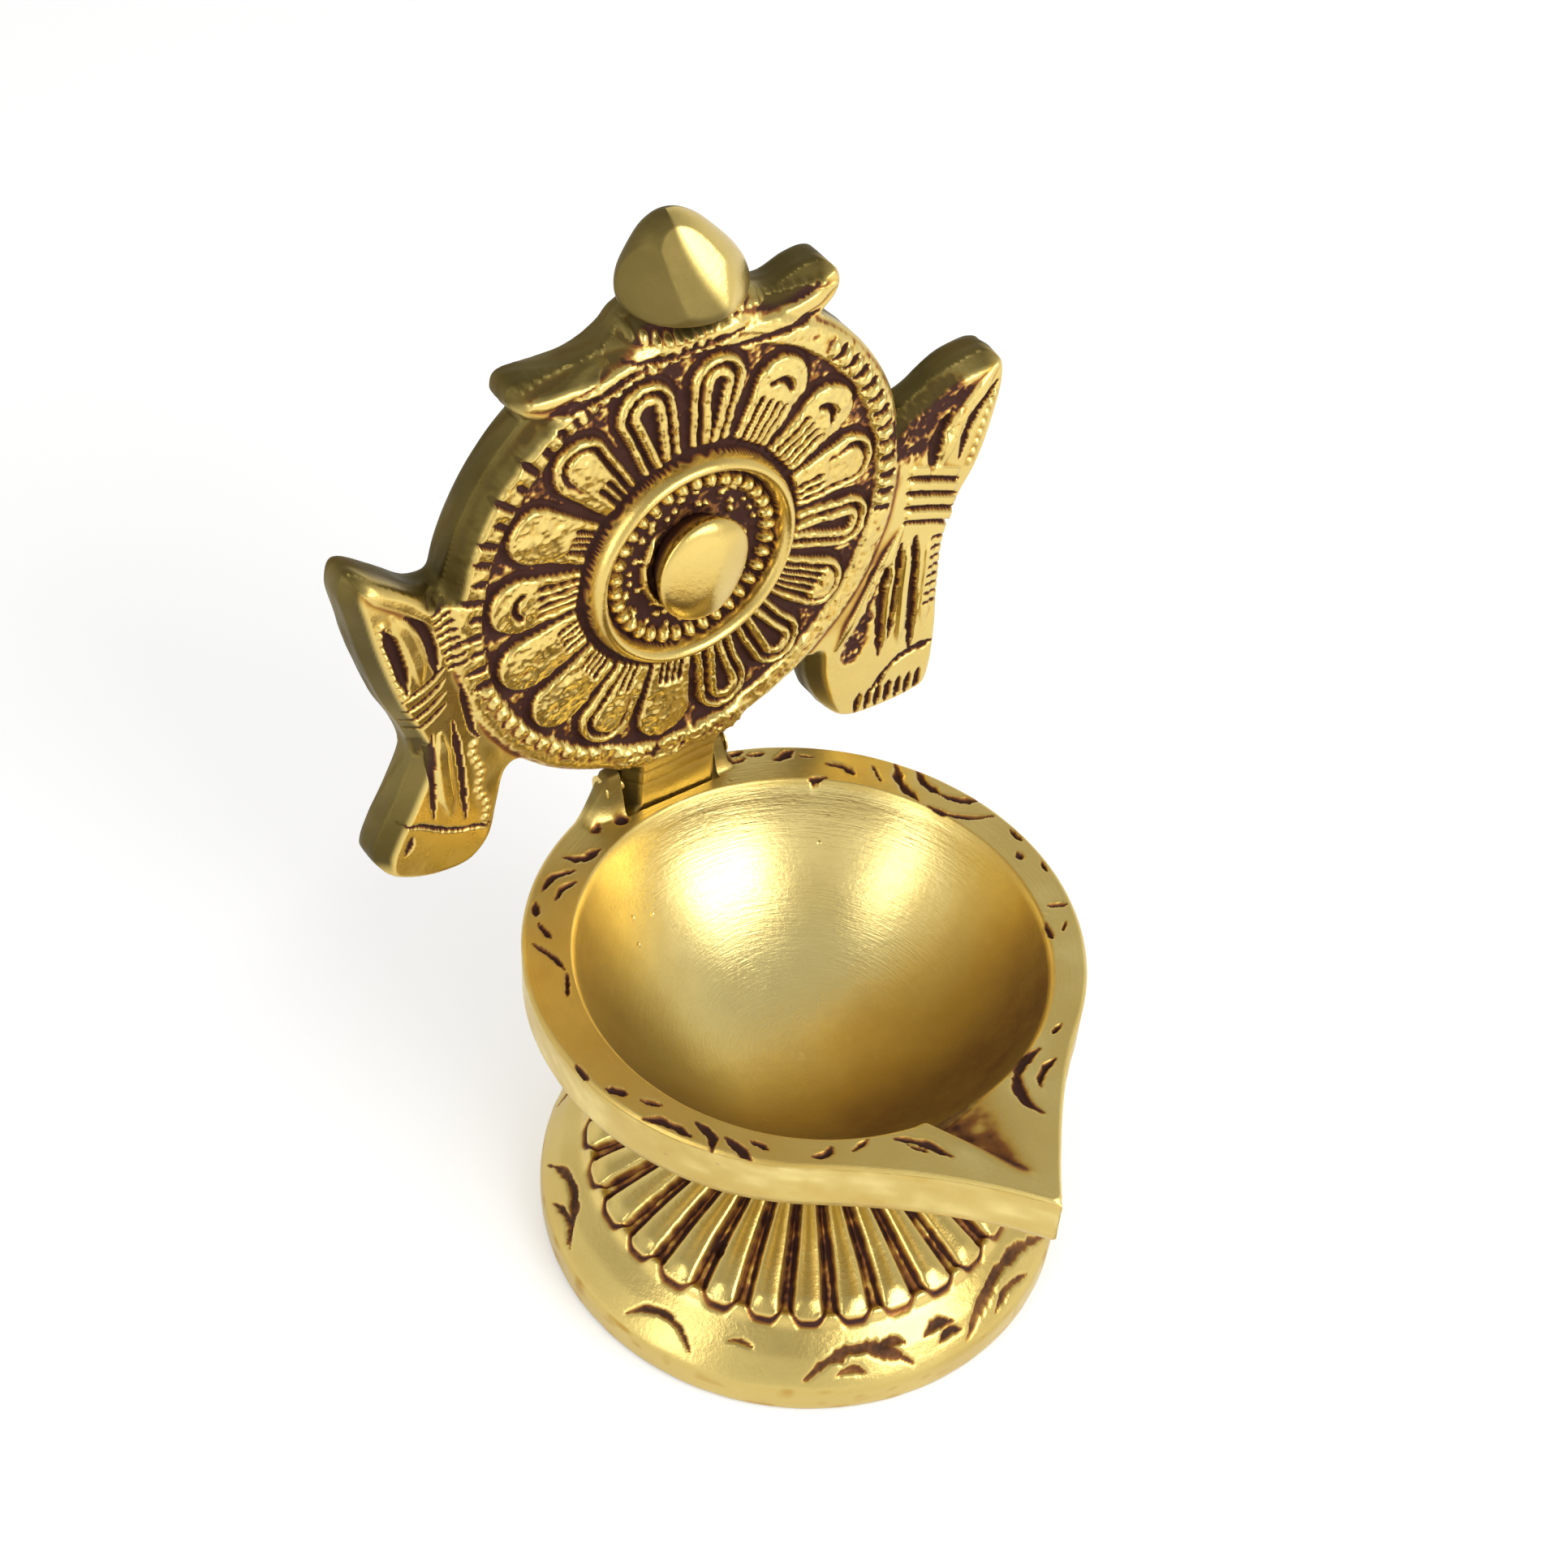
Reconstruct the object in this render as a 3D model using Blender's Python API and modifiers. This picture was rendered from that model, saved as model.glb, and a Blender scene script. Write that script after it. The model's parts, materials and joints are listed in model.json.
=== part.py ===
"""Brass diya oil lamp: a teardrop bowl on a fluted foot, with an ornamental chakra plate hinged at its back.

World axes: +Z up, the spout points along -Y, +X to the right for someone who stands before the spout.
The origin is the middle of the lamp's footprint, on the surface it stands on.
"""

import math

import bmesh
import bpy
from mathutils import Matrix, Vector

MM = 0.001

# Driving dimensions.
RIM_HEIGHT = 31.4 * MM
CAVITY_RADIUS = 20.0 * MM
CAVITY_DEPTH = 14.5 * MM
BOWL_Y = 3.13 * MM
OUTER_RADIUS = 23.68 * MM
OUTER_Y = BOWL_Y + 1.08 * MM
SPOUT_REACH = 32.58 * MM
FLANK_RADIUS = 60.0 * MM
BAND_HEIGHT = 4.8 * MM
FOOT_RADIUS = 23.63 * MM
FOOT_Y = BOWL_Y - 1.63 * MM
PETAL_COUNT = 28
PLATE_THICKNESS = 3.8 * MM
HINGE_Y = BOWL_Y + 23.33 * MM
HINGE_Z = RIM_HEIGHT + 2.0 * MM
DISC_RADIUS = 21.8 * MM
DISC_Z = RIM_HEIGHT + 27.2 * MM
CHAKRA_PETALS = 16

# Fits.
FACE_GAP = 0.3 * MM
RUNNING_GAP = 0.1 * MM
SLOT_HALF_WIDTH = 4.85 * MM
TANG_HALF_WIDTH = 4.45 * MM
SLOT_FRONT_Y = BOWL_Y + 20.95 * MM
SLOT_DEPTH = 2.7 * MM

# Hinge.
PIN_RADIUS = 0.8 * MM
EAR_RADIUS = 1.9 * MM
EAR_HALF_SPAN = 6.1 * MM

# Joint between the bowl and its foot.
BOWL_BASE_Z = 13.4 * MM
NECK_RADIUS = 9.0 * MM
SPIGOT_RADIUS = 5.0 * MM
SPIGOT_LENGTH = 2.4 * MM
ROOF_Z = 10.1 * MM
SCREW_RADIUS = 1.9 * MM
SCREW_TIP_Z = 14.8 * MM
SCREW_HEAD_RADIUS = 3.6 * MM
SCREW_HEAD_HEIGHT = 2.4 * MM
WASHER_RADIUS = 7.2 * MM
WASHER_THICKNESS = 1.0 * MM

# Fineness of the turned shapes.
ROUND_STEPS = 64
SMALL_STEPS = 24
MERGE = 0.00001
SMOOTH_ANGLE = math.radians(35)


def clear_scene():
    """Remove every object that the file opened with."""
    for item in list(bpy.data.objects):
        bpy.data.objects.remove(item, do_unlink=True)


def new_collection(name):
    """Add a collection to the scene."""
    collection = bpy.data.collections.new(name)
    bpy.context.scene.collection.children.link(collection)
    return collection


def metal(name, colour, roughness):
    """A Principled metal."""
    made = bpy.data.materials.new(name)
    made.use_nodes = True
    shader = made.node_tree.nodes["Principled BSDF"]
    shader.inputs["Base Color"].default_value = (*colour, 1.0)
    shader.inputs["Metallic"].default_value = 1.0
    shader.inputs["Roughness"].default_value = roughness
    return made


def add_object(name, mesh, collection):
    """Put a mesh in the scene as an object."""
    made = bpy.data.objects.new(name, mesh)
    collection.objects.link(made)
    return made


def object_from_bmesh(name, shape, collection):
    """Turn a bmesh into an object with its faces pointing out."""
    bmesh.ops.recalc_face_normals(shape, faces=shape.faces)
    mesh = bpy.data.meshes.new(name)
    shape.to_mesh(mesh)
    shape.free()
    return add_object(name, mesh, collection)


def turned(name, profile, collection, steps=ROUND_STEPS, closed=False):
    """Turn a profile of (radius, height) about Z. The profile runs down its outer side from top to bottom."""
    mesh = bpy.data.meshes.new(name)
    corners = [(radius, 0.0, height) for radius, height in profile]
    edges = [(index, index + 1) for index in range(len(corners) - 1)]
    if closed:
        edges.append((len(corners) - 1, 0))
    mesh.from_pydata(corners, edges, [])
    made = add_object(name, mesh, collection)
    screw = made.modifiers.new("turn", "SCREW")
    screw.axis = "Z"
    screw.angle = 2 * math.pi
    screw.steps = steps
    screw.render_steps = steps
    screw.use_merge_vertices = True
    screw.merge_threshold = MERGE
    return made


def cylinder(name, radius, length, collection, steps=SMALL_STEPS):
    """A capped cylinder about Z, centred on its origin."""
    shape = bmesh.new()
    bmesh.ops.create_cone(
        shape, cap_ends=True, segments=steps, radius1=radius, radius2=radius, depth=length
    )
    return object_from_bmesh(name, shape, collection)


def block(name, low, high, collection):
    """A box between two corners."""
    shape = bmesh.new()
    bmesh.ops.create_cube(shape, size=1.0)
    middle = (Vector(low) + Vector(high)) / 2
    size = Vector(high) - Vector(low)
    bmesh.ops.scale(shape, vec=size, verts=shape.verts)
    bmesh.ops.translate(shape, vec=middle, verts=shape.verts)
    return object_from_bmesh(name, shape, collection)


def upright_outline(name, points, thickness, resolution, collection, rounded=True):
    """Extrude a closed outline of (across, up) that stands in the XZ plane, centred on Y = 0."""
    curve = bpy.data.curves.new(name, "CURVE")
    curve.dimensions = "2D"
    curve.fill_mode = "BOTH"
    curve.extrude = thickness / 2
    curve.resolution_u = resolution
    spline = curve.splines.new("BEZIER")
    spline.bezier_points.add(len(points) - 1)
    handle = "AUTO" if rounded else "VECTOR"
    for knot, (across, up) in zip(spline.bezier_points, points):
        knot.co = (across, up, 0.0)
        knot.handle_left_type = handle
        knot.handle_right_type = handle
    spline.use_cyclic_u = True
    outline = bpy.data.objects.new(name + "_outline", curve)
    collection.objects.link(outline)
    outline.rotation_euler.x = math.pi / 2
    bpy.context.view_layer.update()
    solid = outline.evaluated_get(bpy.context.evaluated_depsgraph_get())
    mesh = bpy.data.meshes.new_from_object(solid)
    shape = bmesh.new()
    shape.from_mesh(mesh)
    bmesh.ops.remove_doubles(shape, verts=shape.verts, dist=MERGE)
    bmesh.ops.recalc_face_normals(shape, faces=shape.faces)
    shape.to_mesh(mesh)
    shape.free()
    made = add_object(name, mesh, collection)
    made.matrix_world = outline.matrix_world
    bpy.data.objects.remove(outline, do_unlink=True)
    return made


def combine(target, tool, operation):
    """Add a Boolean modifier that joins or cuts with another object."""
    modifier = target.modifiers.new(tool.name, "BOOLEAN")
    modifier.operation = operation
    modifier.object = tool
    hide_tool(tool)


def combine_all(target, tools, operation):
    """Add one Boolean modifier that joins or cuts with every object of a collection."""
    modifier = target.modifiers.new(tools.name, "BOOLEAN")
    modifier.operation = operation
    modifier.operand_type = "COLLECTION"
    modifier.collection = tools
    for tool in tools.objects:
        hide_tool(tool)


def hide_tool(tool):
    """Keep a cutter or a joined form out of the picture."""
    tool.hide_render = True
    tool.display_type = "WIRE"


def finish(made, surface):
    """Give a part its material and smooth shading on its round faces."""
    made.data.materials.clear()
    made.data.materials.append(surface)
    made.data.shade_smooth()
    made.data.set_sharp_from_angle(angle=SMOOTH_ANGLE)


def teardrop(count_round, count_flank):
    """The bowl's outline as (angle, radius) about its outer centre: a circle with hollow flanks up to a tip.

    Angles are measured from the spout's direction towards +X.
    """
    arc_centre = OUTER_RADIUS + FLANK_RADIUS
    spread = math.acos(
        (OUTER_RADIUS**2 + 2 * OUTER_RADIUS * FLANK_RADIUS + SPOUT_REACH**2) / (2 * arc_centre * SPOUT_REACH)
    )
    centre_x = arc_centre * math.sin(spread)
    centre_y = -arc_centre * math.cos(spread)
    first = math.atan2(-centre_y, -centre_x)
    last = math.atan2(-SPOUT_REACH - centre_y, -centre_x)
    flank = []
    for index in range(1, count_flank + 1):
        angle = first + (last - first) * index / count_flank
        x = centre_x + FLANK_RADIUS * math.cos(angle)
        y = centre_y + FLANK_RADIUS * math.sin(angle)
        flank.append((math.atan2(x, -y), math.hypot(x, y)))
    outline = list(reversed(flank))
    for index in range(count_round + 1):
        angle = spread + (2 * math.pi - 2 * spread) * index / count_round
        outline.append((angle, OUTER_RADIUS))
    outline += [(2 * math.pi - angle, radius) for angle, radius in flank[:-1]]
    return outline


def bowl_sections():
    """Heights, body radii and spout shares of the bowl's outer surface, from the rim down to its base."""
    edge = 0.35 * MM
    band_foot = RIM_HEIGHT - BAND_HEIGHT
    shoulder = Vector((OUTER_RADIUS - 0.5 * MM, band_foot - 0.6 * MM))
    pull = Vector((16.5 * MM, 18.0 * MM))
    base = Vector((NECK_RADIUS, BOWL_BASE_Z))
    sections = [
        (RIM_HEIGHT, OUTER_RADIUS - edge, 1.0),
        (RIM_HEIGHT - edge, OUTER_RADIUS, 1.0),
        (band_foot, OUTER_RADIUS, 1.0),
    ]
    steps = 6
    for index in range(steps + 1):
        way = index / steps
        point = shoulder * (1 - way) ** 2 + pull * 2 * way * (1 - way) + base * way**2
        sections.append((point.y, point.x, 0.96 * (1 - way) ** 1.3))
    return sections


def bowl_body(collection):
    """The bowl's solid outer form, lofted between teardrop sections that lose their spout going down."""
    outline = teardrop(count_round=48, count_flank=6)
    sections = bowl_sections()
    shape = bmesh.new()
    rings = []
    for height, radius, spout in sections:
        fall = (RIM_HEIGHT - height) / (RIM_HEIGHT - BOWL_BASE_Z)
        centre_y = OUTER_Y + (FOOT_Y - OUTER_Y) * fall**2
        ring = []
        for angle, reach in outline:
            length = radius + (reach - OUTER_RADIUS) * spout
            ring.append(
                shape.verts.new((math.sin(angle) * length, centre_y - math.cos(angle) * length, height))
            )
        rings.append(ring)
    for upper, lower in zip(rings, rings[1:]):
        for index in range(len(outline)):
            after = (index + 1) % len(outline)
            shape.faces.new((upper[index], upper[after], lower[after], lower[index]))
    shape.faces.new(rings[0])
    shape.faces.new(rings[-1])
    return object_from_bmesh("bowl", shape, collection)


def cavity_cutter(collection):
    """The round hollow that holds the oil, a cap of a sphere with its lip eased."""
    sphere = (CAVITY_RADIUS**2 + CAVITY_DEPTH**2) / (2 * CAVITY_DEPTH)
    ball_z = RIM_HEIGHT - CAVITY_DEPTH + sphere
    lip = 0.3 * MM
    above = 3.0 * MM
    profile = [(0.0, RIM_HEIGHT + above), (CAVITY_RADIUS + lip, RIM_HEIGHT + above)]
    profile.append((CAVITY_RADIUS + lip, RIM_HEIGHT))
    half_angle = math.asin(CAVITY_RADIUS / sphere)
    steps = 10
    for index in range(steps + 1):
        angle = half_angle * (1 - index / steps)
        radius = sphere * math.sin(angle)
        height = ball_z - sphere * math.cos(angle)
        profile.append((radius, height - lip * (1 - index / steps)))
    made = turned("cavity_cutter", profile, collection)
    made.location.y = BOWL_Y
    return made


def channel_cutter(collection):
    """The V-shaped wick channel, deepest where it meets the hollow and running out before the tip."""
    half_width = 4.2 * MM
    depth = 1.7 * MM
    inner_y = BOWL_Y - 18.6 * MM
    apex_y = BOWL_Y - 28.3 * MM
    above = 1.0 * MM
    spread = (depth + above) / depth
    slope = (inner_y - apex_y) / depth
    shape = bmesh.new()
    top_z = RIM_HEIGHT + above
    corners = [
        (-half_width * spread, inner_y, top_z),
        (half_width * spread, inner_y, top_z),
        (0.0, inner_y, RIM_HEIGHT - depth),
        (0.0, apex_y - slope * above, top_z),
    ]
    bmesh.ops.convex_hull(shape, input=[shape.verts.new(corner) for corner in corners])
    return object_from_bmesh("channel_cutter", shape, collection)


def ear_form(collection):
    """The hinge ears as one block across the slot: round about the pin, then sloping back into the rim."""
    steps = 12
    root_drop = 6.5 * MM
    outline = []
    for index in range(steps + 1):
        angle = math.pi * index / steps
        outline.append((HINGE_Y + EAR_RADIUS * math.cos(angle), HINGE_Z + EAR_RADIUS * math.sin(angle)))
    outline.append((HINGE_Y - EAR_RADIUS, HINGE_Z - root_drop))
    outline.append((HINGE_Y, HINGE_Z - root_drop))
    shape = bmesh.new()
    near = [shape.verts.new((-EAR_HALF_SPAN, y, z)) for y, z in outline]
    far = [shape.verts.new((EAR_HALF_SPAN, y, z)) for y, z in outline]
    shape.faces.new(near)
    shape.faces.new(far)
    for index in range(len(outline)):
        after = (index + 1) % len(outline)
        shape.faces.new((near[index], near[after], far[after], far[index]))
    return object_from_bmesh("ear_form", shape, collection)


def across(made, y, z):
    """Lay a shape turned about Z along X, on the given line."""
    made.rotation_euler.y = math.pi / 2
    made.location = (0.0, y, z)
    return made


def build_bowl(parts, tools, surface):
    """The oil bowl: body, spigot and ears, less the hollow, wick channel, hinge slot and holes."""
    bowl = bowl_body(parts)
    overlap = 1.0 * MM
    spigot_length = SPIGOT_LENGTH + overlap
    spigot = cylinder("spigot_form", SPIGOT_RADIUS, spigot_length, tools, ROUND_STEPS)
    spigot.location = (0.0, FOOT_Y, BOWL_BASE_Z + overlap - spigot_length / 2)
    combine(bowl, spigot, "UNION")
    combine(bowl, ear_form(tools), "UNION")
    combine(bowl, cavity_cutter(tools), "DIFFERENCE")
    combine(bowl, channel_cutter(tools), "DIFFERENCE")
    past = 8.0 * MM
    slot = block(
        "slot_cutter",
        (-SLOT_HALF_WIDTH, SLOT_FRONT_Y, RIM_HEIGHT - SLOT_DEPTH),
        (SLOT_HALF_WIDTH, SLOT_FRONT_Y + past, RIM_HEIGHT + past),
        tools,
    )
    combine(bowl, slot, "DIFFERENCE")
    pin_hole = cylinder("pin_hole_cutter", PIN_RADIUS + RUNNING_GAP, 4 * EAR_HALF_SPAN, tools)
    combine(bowl, across(pin_hole, HINGE_Y, HINGE_Z), "DIFFERENCE")
    hole_top = SCREW_TIP_Z + FACE_GAP
    hole_foot = BOWL_BASE_Z - 2 * SPIGOT_LENGTH
    screw_hole = cylinder("screw_hole_cutter", SCREW_RADIUS + RUNNING_GAP, hole_top - hole_foot, tools)
    screw_hole.location = (0.0, FOOT_Y, (hole_top + hole_foot) / 2)
    combine(bowl, screw_hole, "DIFFERENCE")
    finish(bowl, surface)


def groove_cutters(collection):
    """Round-bottomed grooves that part the lotus petals, laid down the foot's slope."""
    top = Vector((NECK_RADIUS + 0.6 * MM, 12.6 * MM))
    bottom = Vector((19.4 * MM, 7.9 * MM))
    radius = 0.75 * MM
    fall = math.atan2(top.y - bottom.y, bottom.x - top.x)
    middle = (top + bottom) / 2
    for index in range(PETAL_COUNT):
        groove = cylinder(f"groove_cutter_{index + 1:02d}", radius, (bottom - top).length, collection, 8)
        turn = Matrix.Rotation(2 * math.pi * index / PETAL_COUNT, 4, "Z")
        tilt = Matrix.Rotation(math.pi / 2 + fall, 4, "Y")
        place = Matrix.Translation((middle.x, 0.0, middle.y))
        groove.matrix_world = Matrix.Translation((0.0, FOOT_Y, 0.0)) @ turn @ place @ tilt


def build_pedestal(parts, tools, grooves, surface):
    """The hollow foot: a plain rounded ring at the bottom, and fluted petals rising to the neck."""
    neck_top = BOWL_BASE_Z - FACE_GAP
    bore = SPIGOT_RADIUS + FACE_GAP
    profile = [
        (bore, neck_top),
        (NECK_RADIUS, neck_top),
        (NECK_RADIUS + 0.3 * MM, 12.5 * MM),
        (19.6 * MM, 7.7 * MM),
        (19.9 * MM, 6.9 * MM),
        (21.8 * MM, 5.4 * MM),
        (23.1 * MM, 3.8 * MM),
        (FOOT_RADIUS, 3.0 * MM),
        (FOOT_RADIUS, 0.4 * MM),
        (FOOT_RADIUS - 0.4 * MM, 0.0),
        (20.6 * MM, 0.0),
        (20.2 * MM, 2.4 * MM),
        (18.0 * MM, 4.8 * MM),
        (10.0 * MM, 8.6 * MM),
        (7.9 * MM, ROOF_Z),
        (bore, ROOF_Z),
    ]
    pedestal = turned("pedestal", profile, parts, 2 * PETAL_COUNT, closed=True)
    pedestal.location.y = FOOT_Y
    groove_cutters(grooves)
    combine_all(pedestal, grooves, "DIFFERENCE")
    finish(pedestal, surface)


def build_screw(parts, surface):
    """The pan-head screw that pulls the bowl's spigot down onto the foot."""
    washer_foot = ROOF_Z - FACE_GAP - WASHER_THICKNESS
    under_head = washer_foot - FACE_GAP
    head_foot = under_head - SCREW_HEAD_HEIGHT
    ease = 0.5 * MM
    profile = [
        (0.0, SCREW_TIP_Z),
        (SCREW_RADIUS - ease, SCREW_TIP_Z),
        (SCREW_RADIUS, SCREW_TIP_Z - ease),
        (SCREW_RADIUS, under_head),
        (SCREW_HEAD_RADIUS, under_head),
        (SCREW_HEAD_RADIUS, head_foot + 2 * ease),
        (SCREW_HEAD_RADIUS - ease, head_foot + ease / 2),
        (SCREW_HEAD_RADIUS - 3 * ease, head_foot),
        (0.0, head_foot),
    ]
    screw = turned("foot_screw", profile, parts, SMALL_STEPS)
    screw.location.y = FOOT_Y
    finish(screw, surface)


def build_washer(parts, surface):
    """The flat washer between the screw's head and the foot's roof."""
    top = ROOF_Z - FACE_GAP
    bottom = top - WASHER_THICKNESS
    hole = SCREW_RADIUS + FACE_GAP
    profile = [(hole, top), (WASHER_RADIUS, top), (WASHER_RADIUS, bottom), (hole, bottom)]
    washer = turned("foot_washer", profile, parts, 2 * SMALL_STEPS, closed=True)
    washer.location.y = FOOT_Y
    finish(washer, surface)


def build_pin(parts, surface):
    """The rivet through ears and tang, with a low domed head outside each ear."""
    gap = 0.1 * MM
    inner = EAR_HALF_SPAN + gap
    head_radius = 1.3 * MM
    head_height = 0.45 * MM
    half = [
        (0.0, inner + head_height),
        (0.7 * head_radius, inner + 0.75 * head_height),
        (head_radius, inner + 0.3 * head_height),
        (head_radius, inner),
        (PIN_RADIUS, inner),
    ]
    profile = half + [(radius, -height) for radius, height in reversed(half)]
    pin = turned("hinge_pin", profile, parts, SMALL_STEPS)
    finish(across(pin, HINGE_Y, HINGE_Z), surface)


def disc_profile():
    """Radius and height over the mid-plane of the disc: boss, collar, bead ring, big ring, ground and hem."""
    face = PLATE_THICKNESS / 2
    relief = [
        (0.0, 4.4),
        (1.8, 4.2),
        (3.4, 3.7),
        (4.4, 2.8),
        (4.5, 1.5),
        (5.6, 1.2),
        (5.9, 0.2),
        (6.9, 0.2),
        (7.7, 0.6),
        (8.0, 2.0),
        (8.7, 2.5),
        (9.4, 2.0),
        (9.7, 0.0),
        (18.6, 0.0),
        (18.9, 0.4),
        (21.3, 0.4),
    ]
    profile = [(radius * MM, face + height * MM) for radius, height in relief]
    profile += [(DISC_RADIUS, face - 0.3 * MM), (DISC_RADIUS - 0.6 * MM, -face), (0.0, -face)]
    return profile


def chakra_petals(collection, centre_z):
    """Low cushioned petals round the big ring."""
    inner = 10.3 * MM
    outer = 18.3 * MM
    half_width = 2.5 * MM
    rise = 0.7 * MM
    for index in range(CHAKRA_PETALS):
        shape = bmesh.new()
        bmesh.ops.create_uvsphere(shape, u_segments=12, v_segments=6, radius=1.0)
        bmesh.ops.scale(shape, vec=((outer - inner) / 2, half_width, rise), verts=shape.verts)
        bmesh.ops.translate(shape, vec=((outer + inner) / 2, 0.0, 0.0), verts=shape.verts)
        petal = object_from_bmesh(f"petal_form_{index + 1:02d}", shape, collection)
        spin = Matrix.Rotation(2 * math.pi * (index + 0.5) / CHAKRA_PETALS, 4, "Z")
        stand = Matrix.Rotation(math.pi / 2, 4, "X")
        face = Matrix.Translation((0.0, HINGE_Y - PLATE_THICKNESS / 2, centre_z))
        petal.matrix_world = face @ stand @ spin


# Outlines of the plate's flat forms, in millimetres as (across, height over the rim).
LEFT_RIBBON = [
    (-13.5, 14.5), (-15.2, 12.6), (-17.0, 11.2), (-17.8, 8.0), (-18.6, 4.8), (-20.4, 2.9), (-23.0, 2.8),
    (-26.4, 3.6), (-28.3, 5.4), (-27.6, 8.4), (-25.8, 11.8), (-24.3, 15.6), (-25.3, 18.8), (-27.1, 22.8),
    (-28.4, 27.2), (-29.3, 31.4), (-29.8, 34.0), (-28.9, 35.6), (-26.4, 34.2), (-23.4, 31.9), (-20.4, 30.6),
    (-17.0, 24.0),
]
RIGHT_RIBBON = [
    (13.5, 12.5), (14.5, 9.4), (15.2, 6.2), (16.6, 3.0), (19.0, 0.7), (22.6, 0.1), (26.4, 0.2), (28.1, 1.3),
    (28.2, 6.0), (27.8, 12.0), (27.6, 17.6), (28.6, 22.0), (30.0, 26.0), (30.6, 30.2), (30.6, 34.2),
    (29.8, 35.6), (26.6, 35.2), (23.6, 33.0), (20.6, 31.2), (17.0, 24.0),
]
LEFT_SCROLL = [
    (-3.0, 43.0), (-9.0, 42.6), (-12.6, 43.8), (-14.6, 44.8), (-15.3, 46.0), (-14.4, 47.0), (-11.6, 47.0),
    (-8.6, 47.3), (-6.6, 48.6), (-5.0, 50.2), (-2.0, 51.5),
]
RIGHT_SCROLL = [
    (3.0, 43.0), (9.0, 44.6), (11.6, 46.0), (13.0, 47.4), (13.2, 48.7), (12.2, 49.7), (10.4, 49.5),
    (8.2, 48.7), (6.6, 48.9), (5.0, 50.2), (2.0, 51.5),
]

# The bud's half width at each height, from its top down.
BUD = [
    (0.0, 57.5), (1.5, 57.3), (2.8, 56.4), (4.1, 54.8), (5.2, 52.8), (5.6, 51.0), (5.1, 49.6), (3.6, 48.5),
    (0.0, 48.0),
]


def over_hinge(points):
    """Outline points in metres, with their heights over the hinge line."""
    drop = HINGE_Z - RIM_HEIGHT
    return [(x * MM, z * MM - drop) for x, z in points]


def flat_form(name, points, thinner, collection, rounded=True):
    """A flat form of the plate, a little thinner than the disc so that no two faces share a plane."""
    made = upright_outline(name, points, PLATE_THICKNESS - thinner, 2, collection, rounded)
    made.matrix_world = Matrix.Translation((0.0, HINGE_Y, HINGE_Z)) @ made.matrix_world
    return made


def tang_form(collection):
    """The flat tang that stands in the slot, square below the pin so that it stops the plate leaning back."""
    foot = -3.4 * MM
    neck = 2.6 * MM
    shoulder = 6.0 * MM
    spread = 7.4 * MM
    outline = [
        (-TANG_HALF_WIDTH, foot), (TANG_HALF_WIDTH, foot), (TANG_HALF_WIDTH, neck), (spread, shoulder),
        (-spread, shoulder), (-TANG_HALF_WIDTH, neck),
    ]
    return flat_form("tang_form", outline, 0.1 * MM, collection, rounded=False)


def bud_form(collection):
    """The flame bud: a bulb flattened front to back and leaning to -X, cut flat behind."""
    flatten = 0.78
    lean = 0.25
    upright = over_hinge([(0.0, 49.0)])[0][1]
    forward = 0.8 * MM
    reach = 12.0 * MM
    shape = bmesh.new()
    top, *belts, foot = over_hinge(BUD)
    rings = []
    for half_width, up in belts:
        middle = lean * (upright - up)
        ring = []
        for step in range(SMALL_STEPS):
            angle = 2 * math.pi * step / SMALL_STEPS
            x = middle + half_width * math.cos(angle)
            ring.append(shape.verts.new((x, flatten * half_width * math.sin(angle), up)))
        rings.append(ring)
    for (_, up), ring in ((top, rings[0]), (foot, rings[-1])):
        pole = shape.verts.new((lean * (upright - up), 0.0, up))
        for step in range(SMALL_STEPS):
            shape.faces.new((pole, ring[step], ring[(step + 1) % SMALL_STEPS]))
    for upper, lower in zip(rings, rings[1:]):
        for step in range(SMALL_STEPS):
            after = (step + 1) % SMALL_STEPS
            shape.faces.new((upper[step], upper[after], lower[after], lower[step]))
    bud = object_from_bmesh("bud_form", shape, collection)
    bud.location = (0.0, HINGE_Y - forward, HINGE_Z)
    back = HINGE_Y + PLATE_THICKNESS / 2 - 0.1 * MM
    below = HINGE_Z + 40.0 * MM
    behind = block("bud_back_cutter", (-reach, back, below), (reach, back + reach, below + 2 * reach), collection)
    combine(bud, behind, "DIFFERENCE")
    return bud


def build_plate(parts, tools, petals, surface):
    """The folding plate: disc, petals, ribbons, scrolls, bud and tang, turning about the pin."""
    hinge = bpy.data.objects.new("plate_hinge", None)
    parts.objects.link(hinge)
    hinge.location = (0.0, HINGE_Y, HINGE_Z)
    plate = turned("chakra_plate", disc_profile(), parts)
    plate.parent = hinge
    plate.location.z = DISC_Z - HINGE_Z
    plate.rotation_euler.x = math.pi / 2
    chakra_petals(petals, DISC_Z)
    combine_all(plate, petals, "UNION")
    combine(plate, tang_form(tools), "UNION")
    combine(plate, flat_form("left_ribbon_form", over_hinge(LEFT_RIBBON), 0.2 * MM, tools), "UNION")
    combine(plate, flat_form("right_ribbon_form", over_hinge(RIGHT_RIBBON), 0.2 * MM, tools), "UNION")
    combine(plate, flat_form("left_scroll_form", over_hinge(LEFT_SCROLL), 0.4 * MM, tools), "UNION")
    combine(plate, flat_form("right_scroll_form", over_hinge(RIGHT_SCROLL), 0.5 * MM, tools), "UNION")
    combine(plate, bud_form(tools), "UNION")
    pin_hole = cylinder("tang_hole_cutter", PIN_RADIUS + RUNNING_GAP, 4 * TANG_HALF_WIDTH, tools)
    combine(plate, across(pin_hole, HINGE_Y, HINGE_Z), "DIFFERENCE")
    finish(plate, surface)


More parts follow.
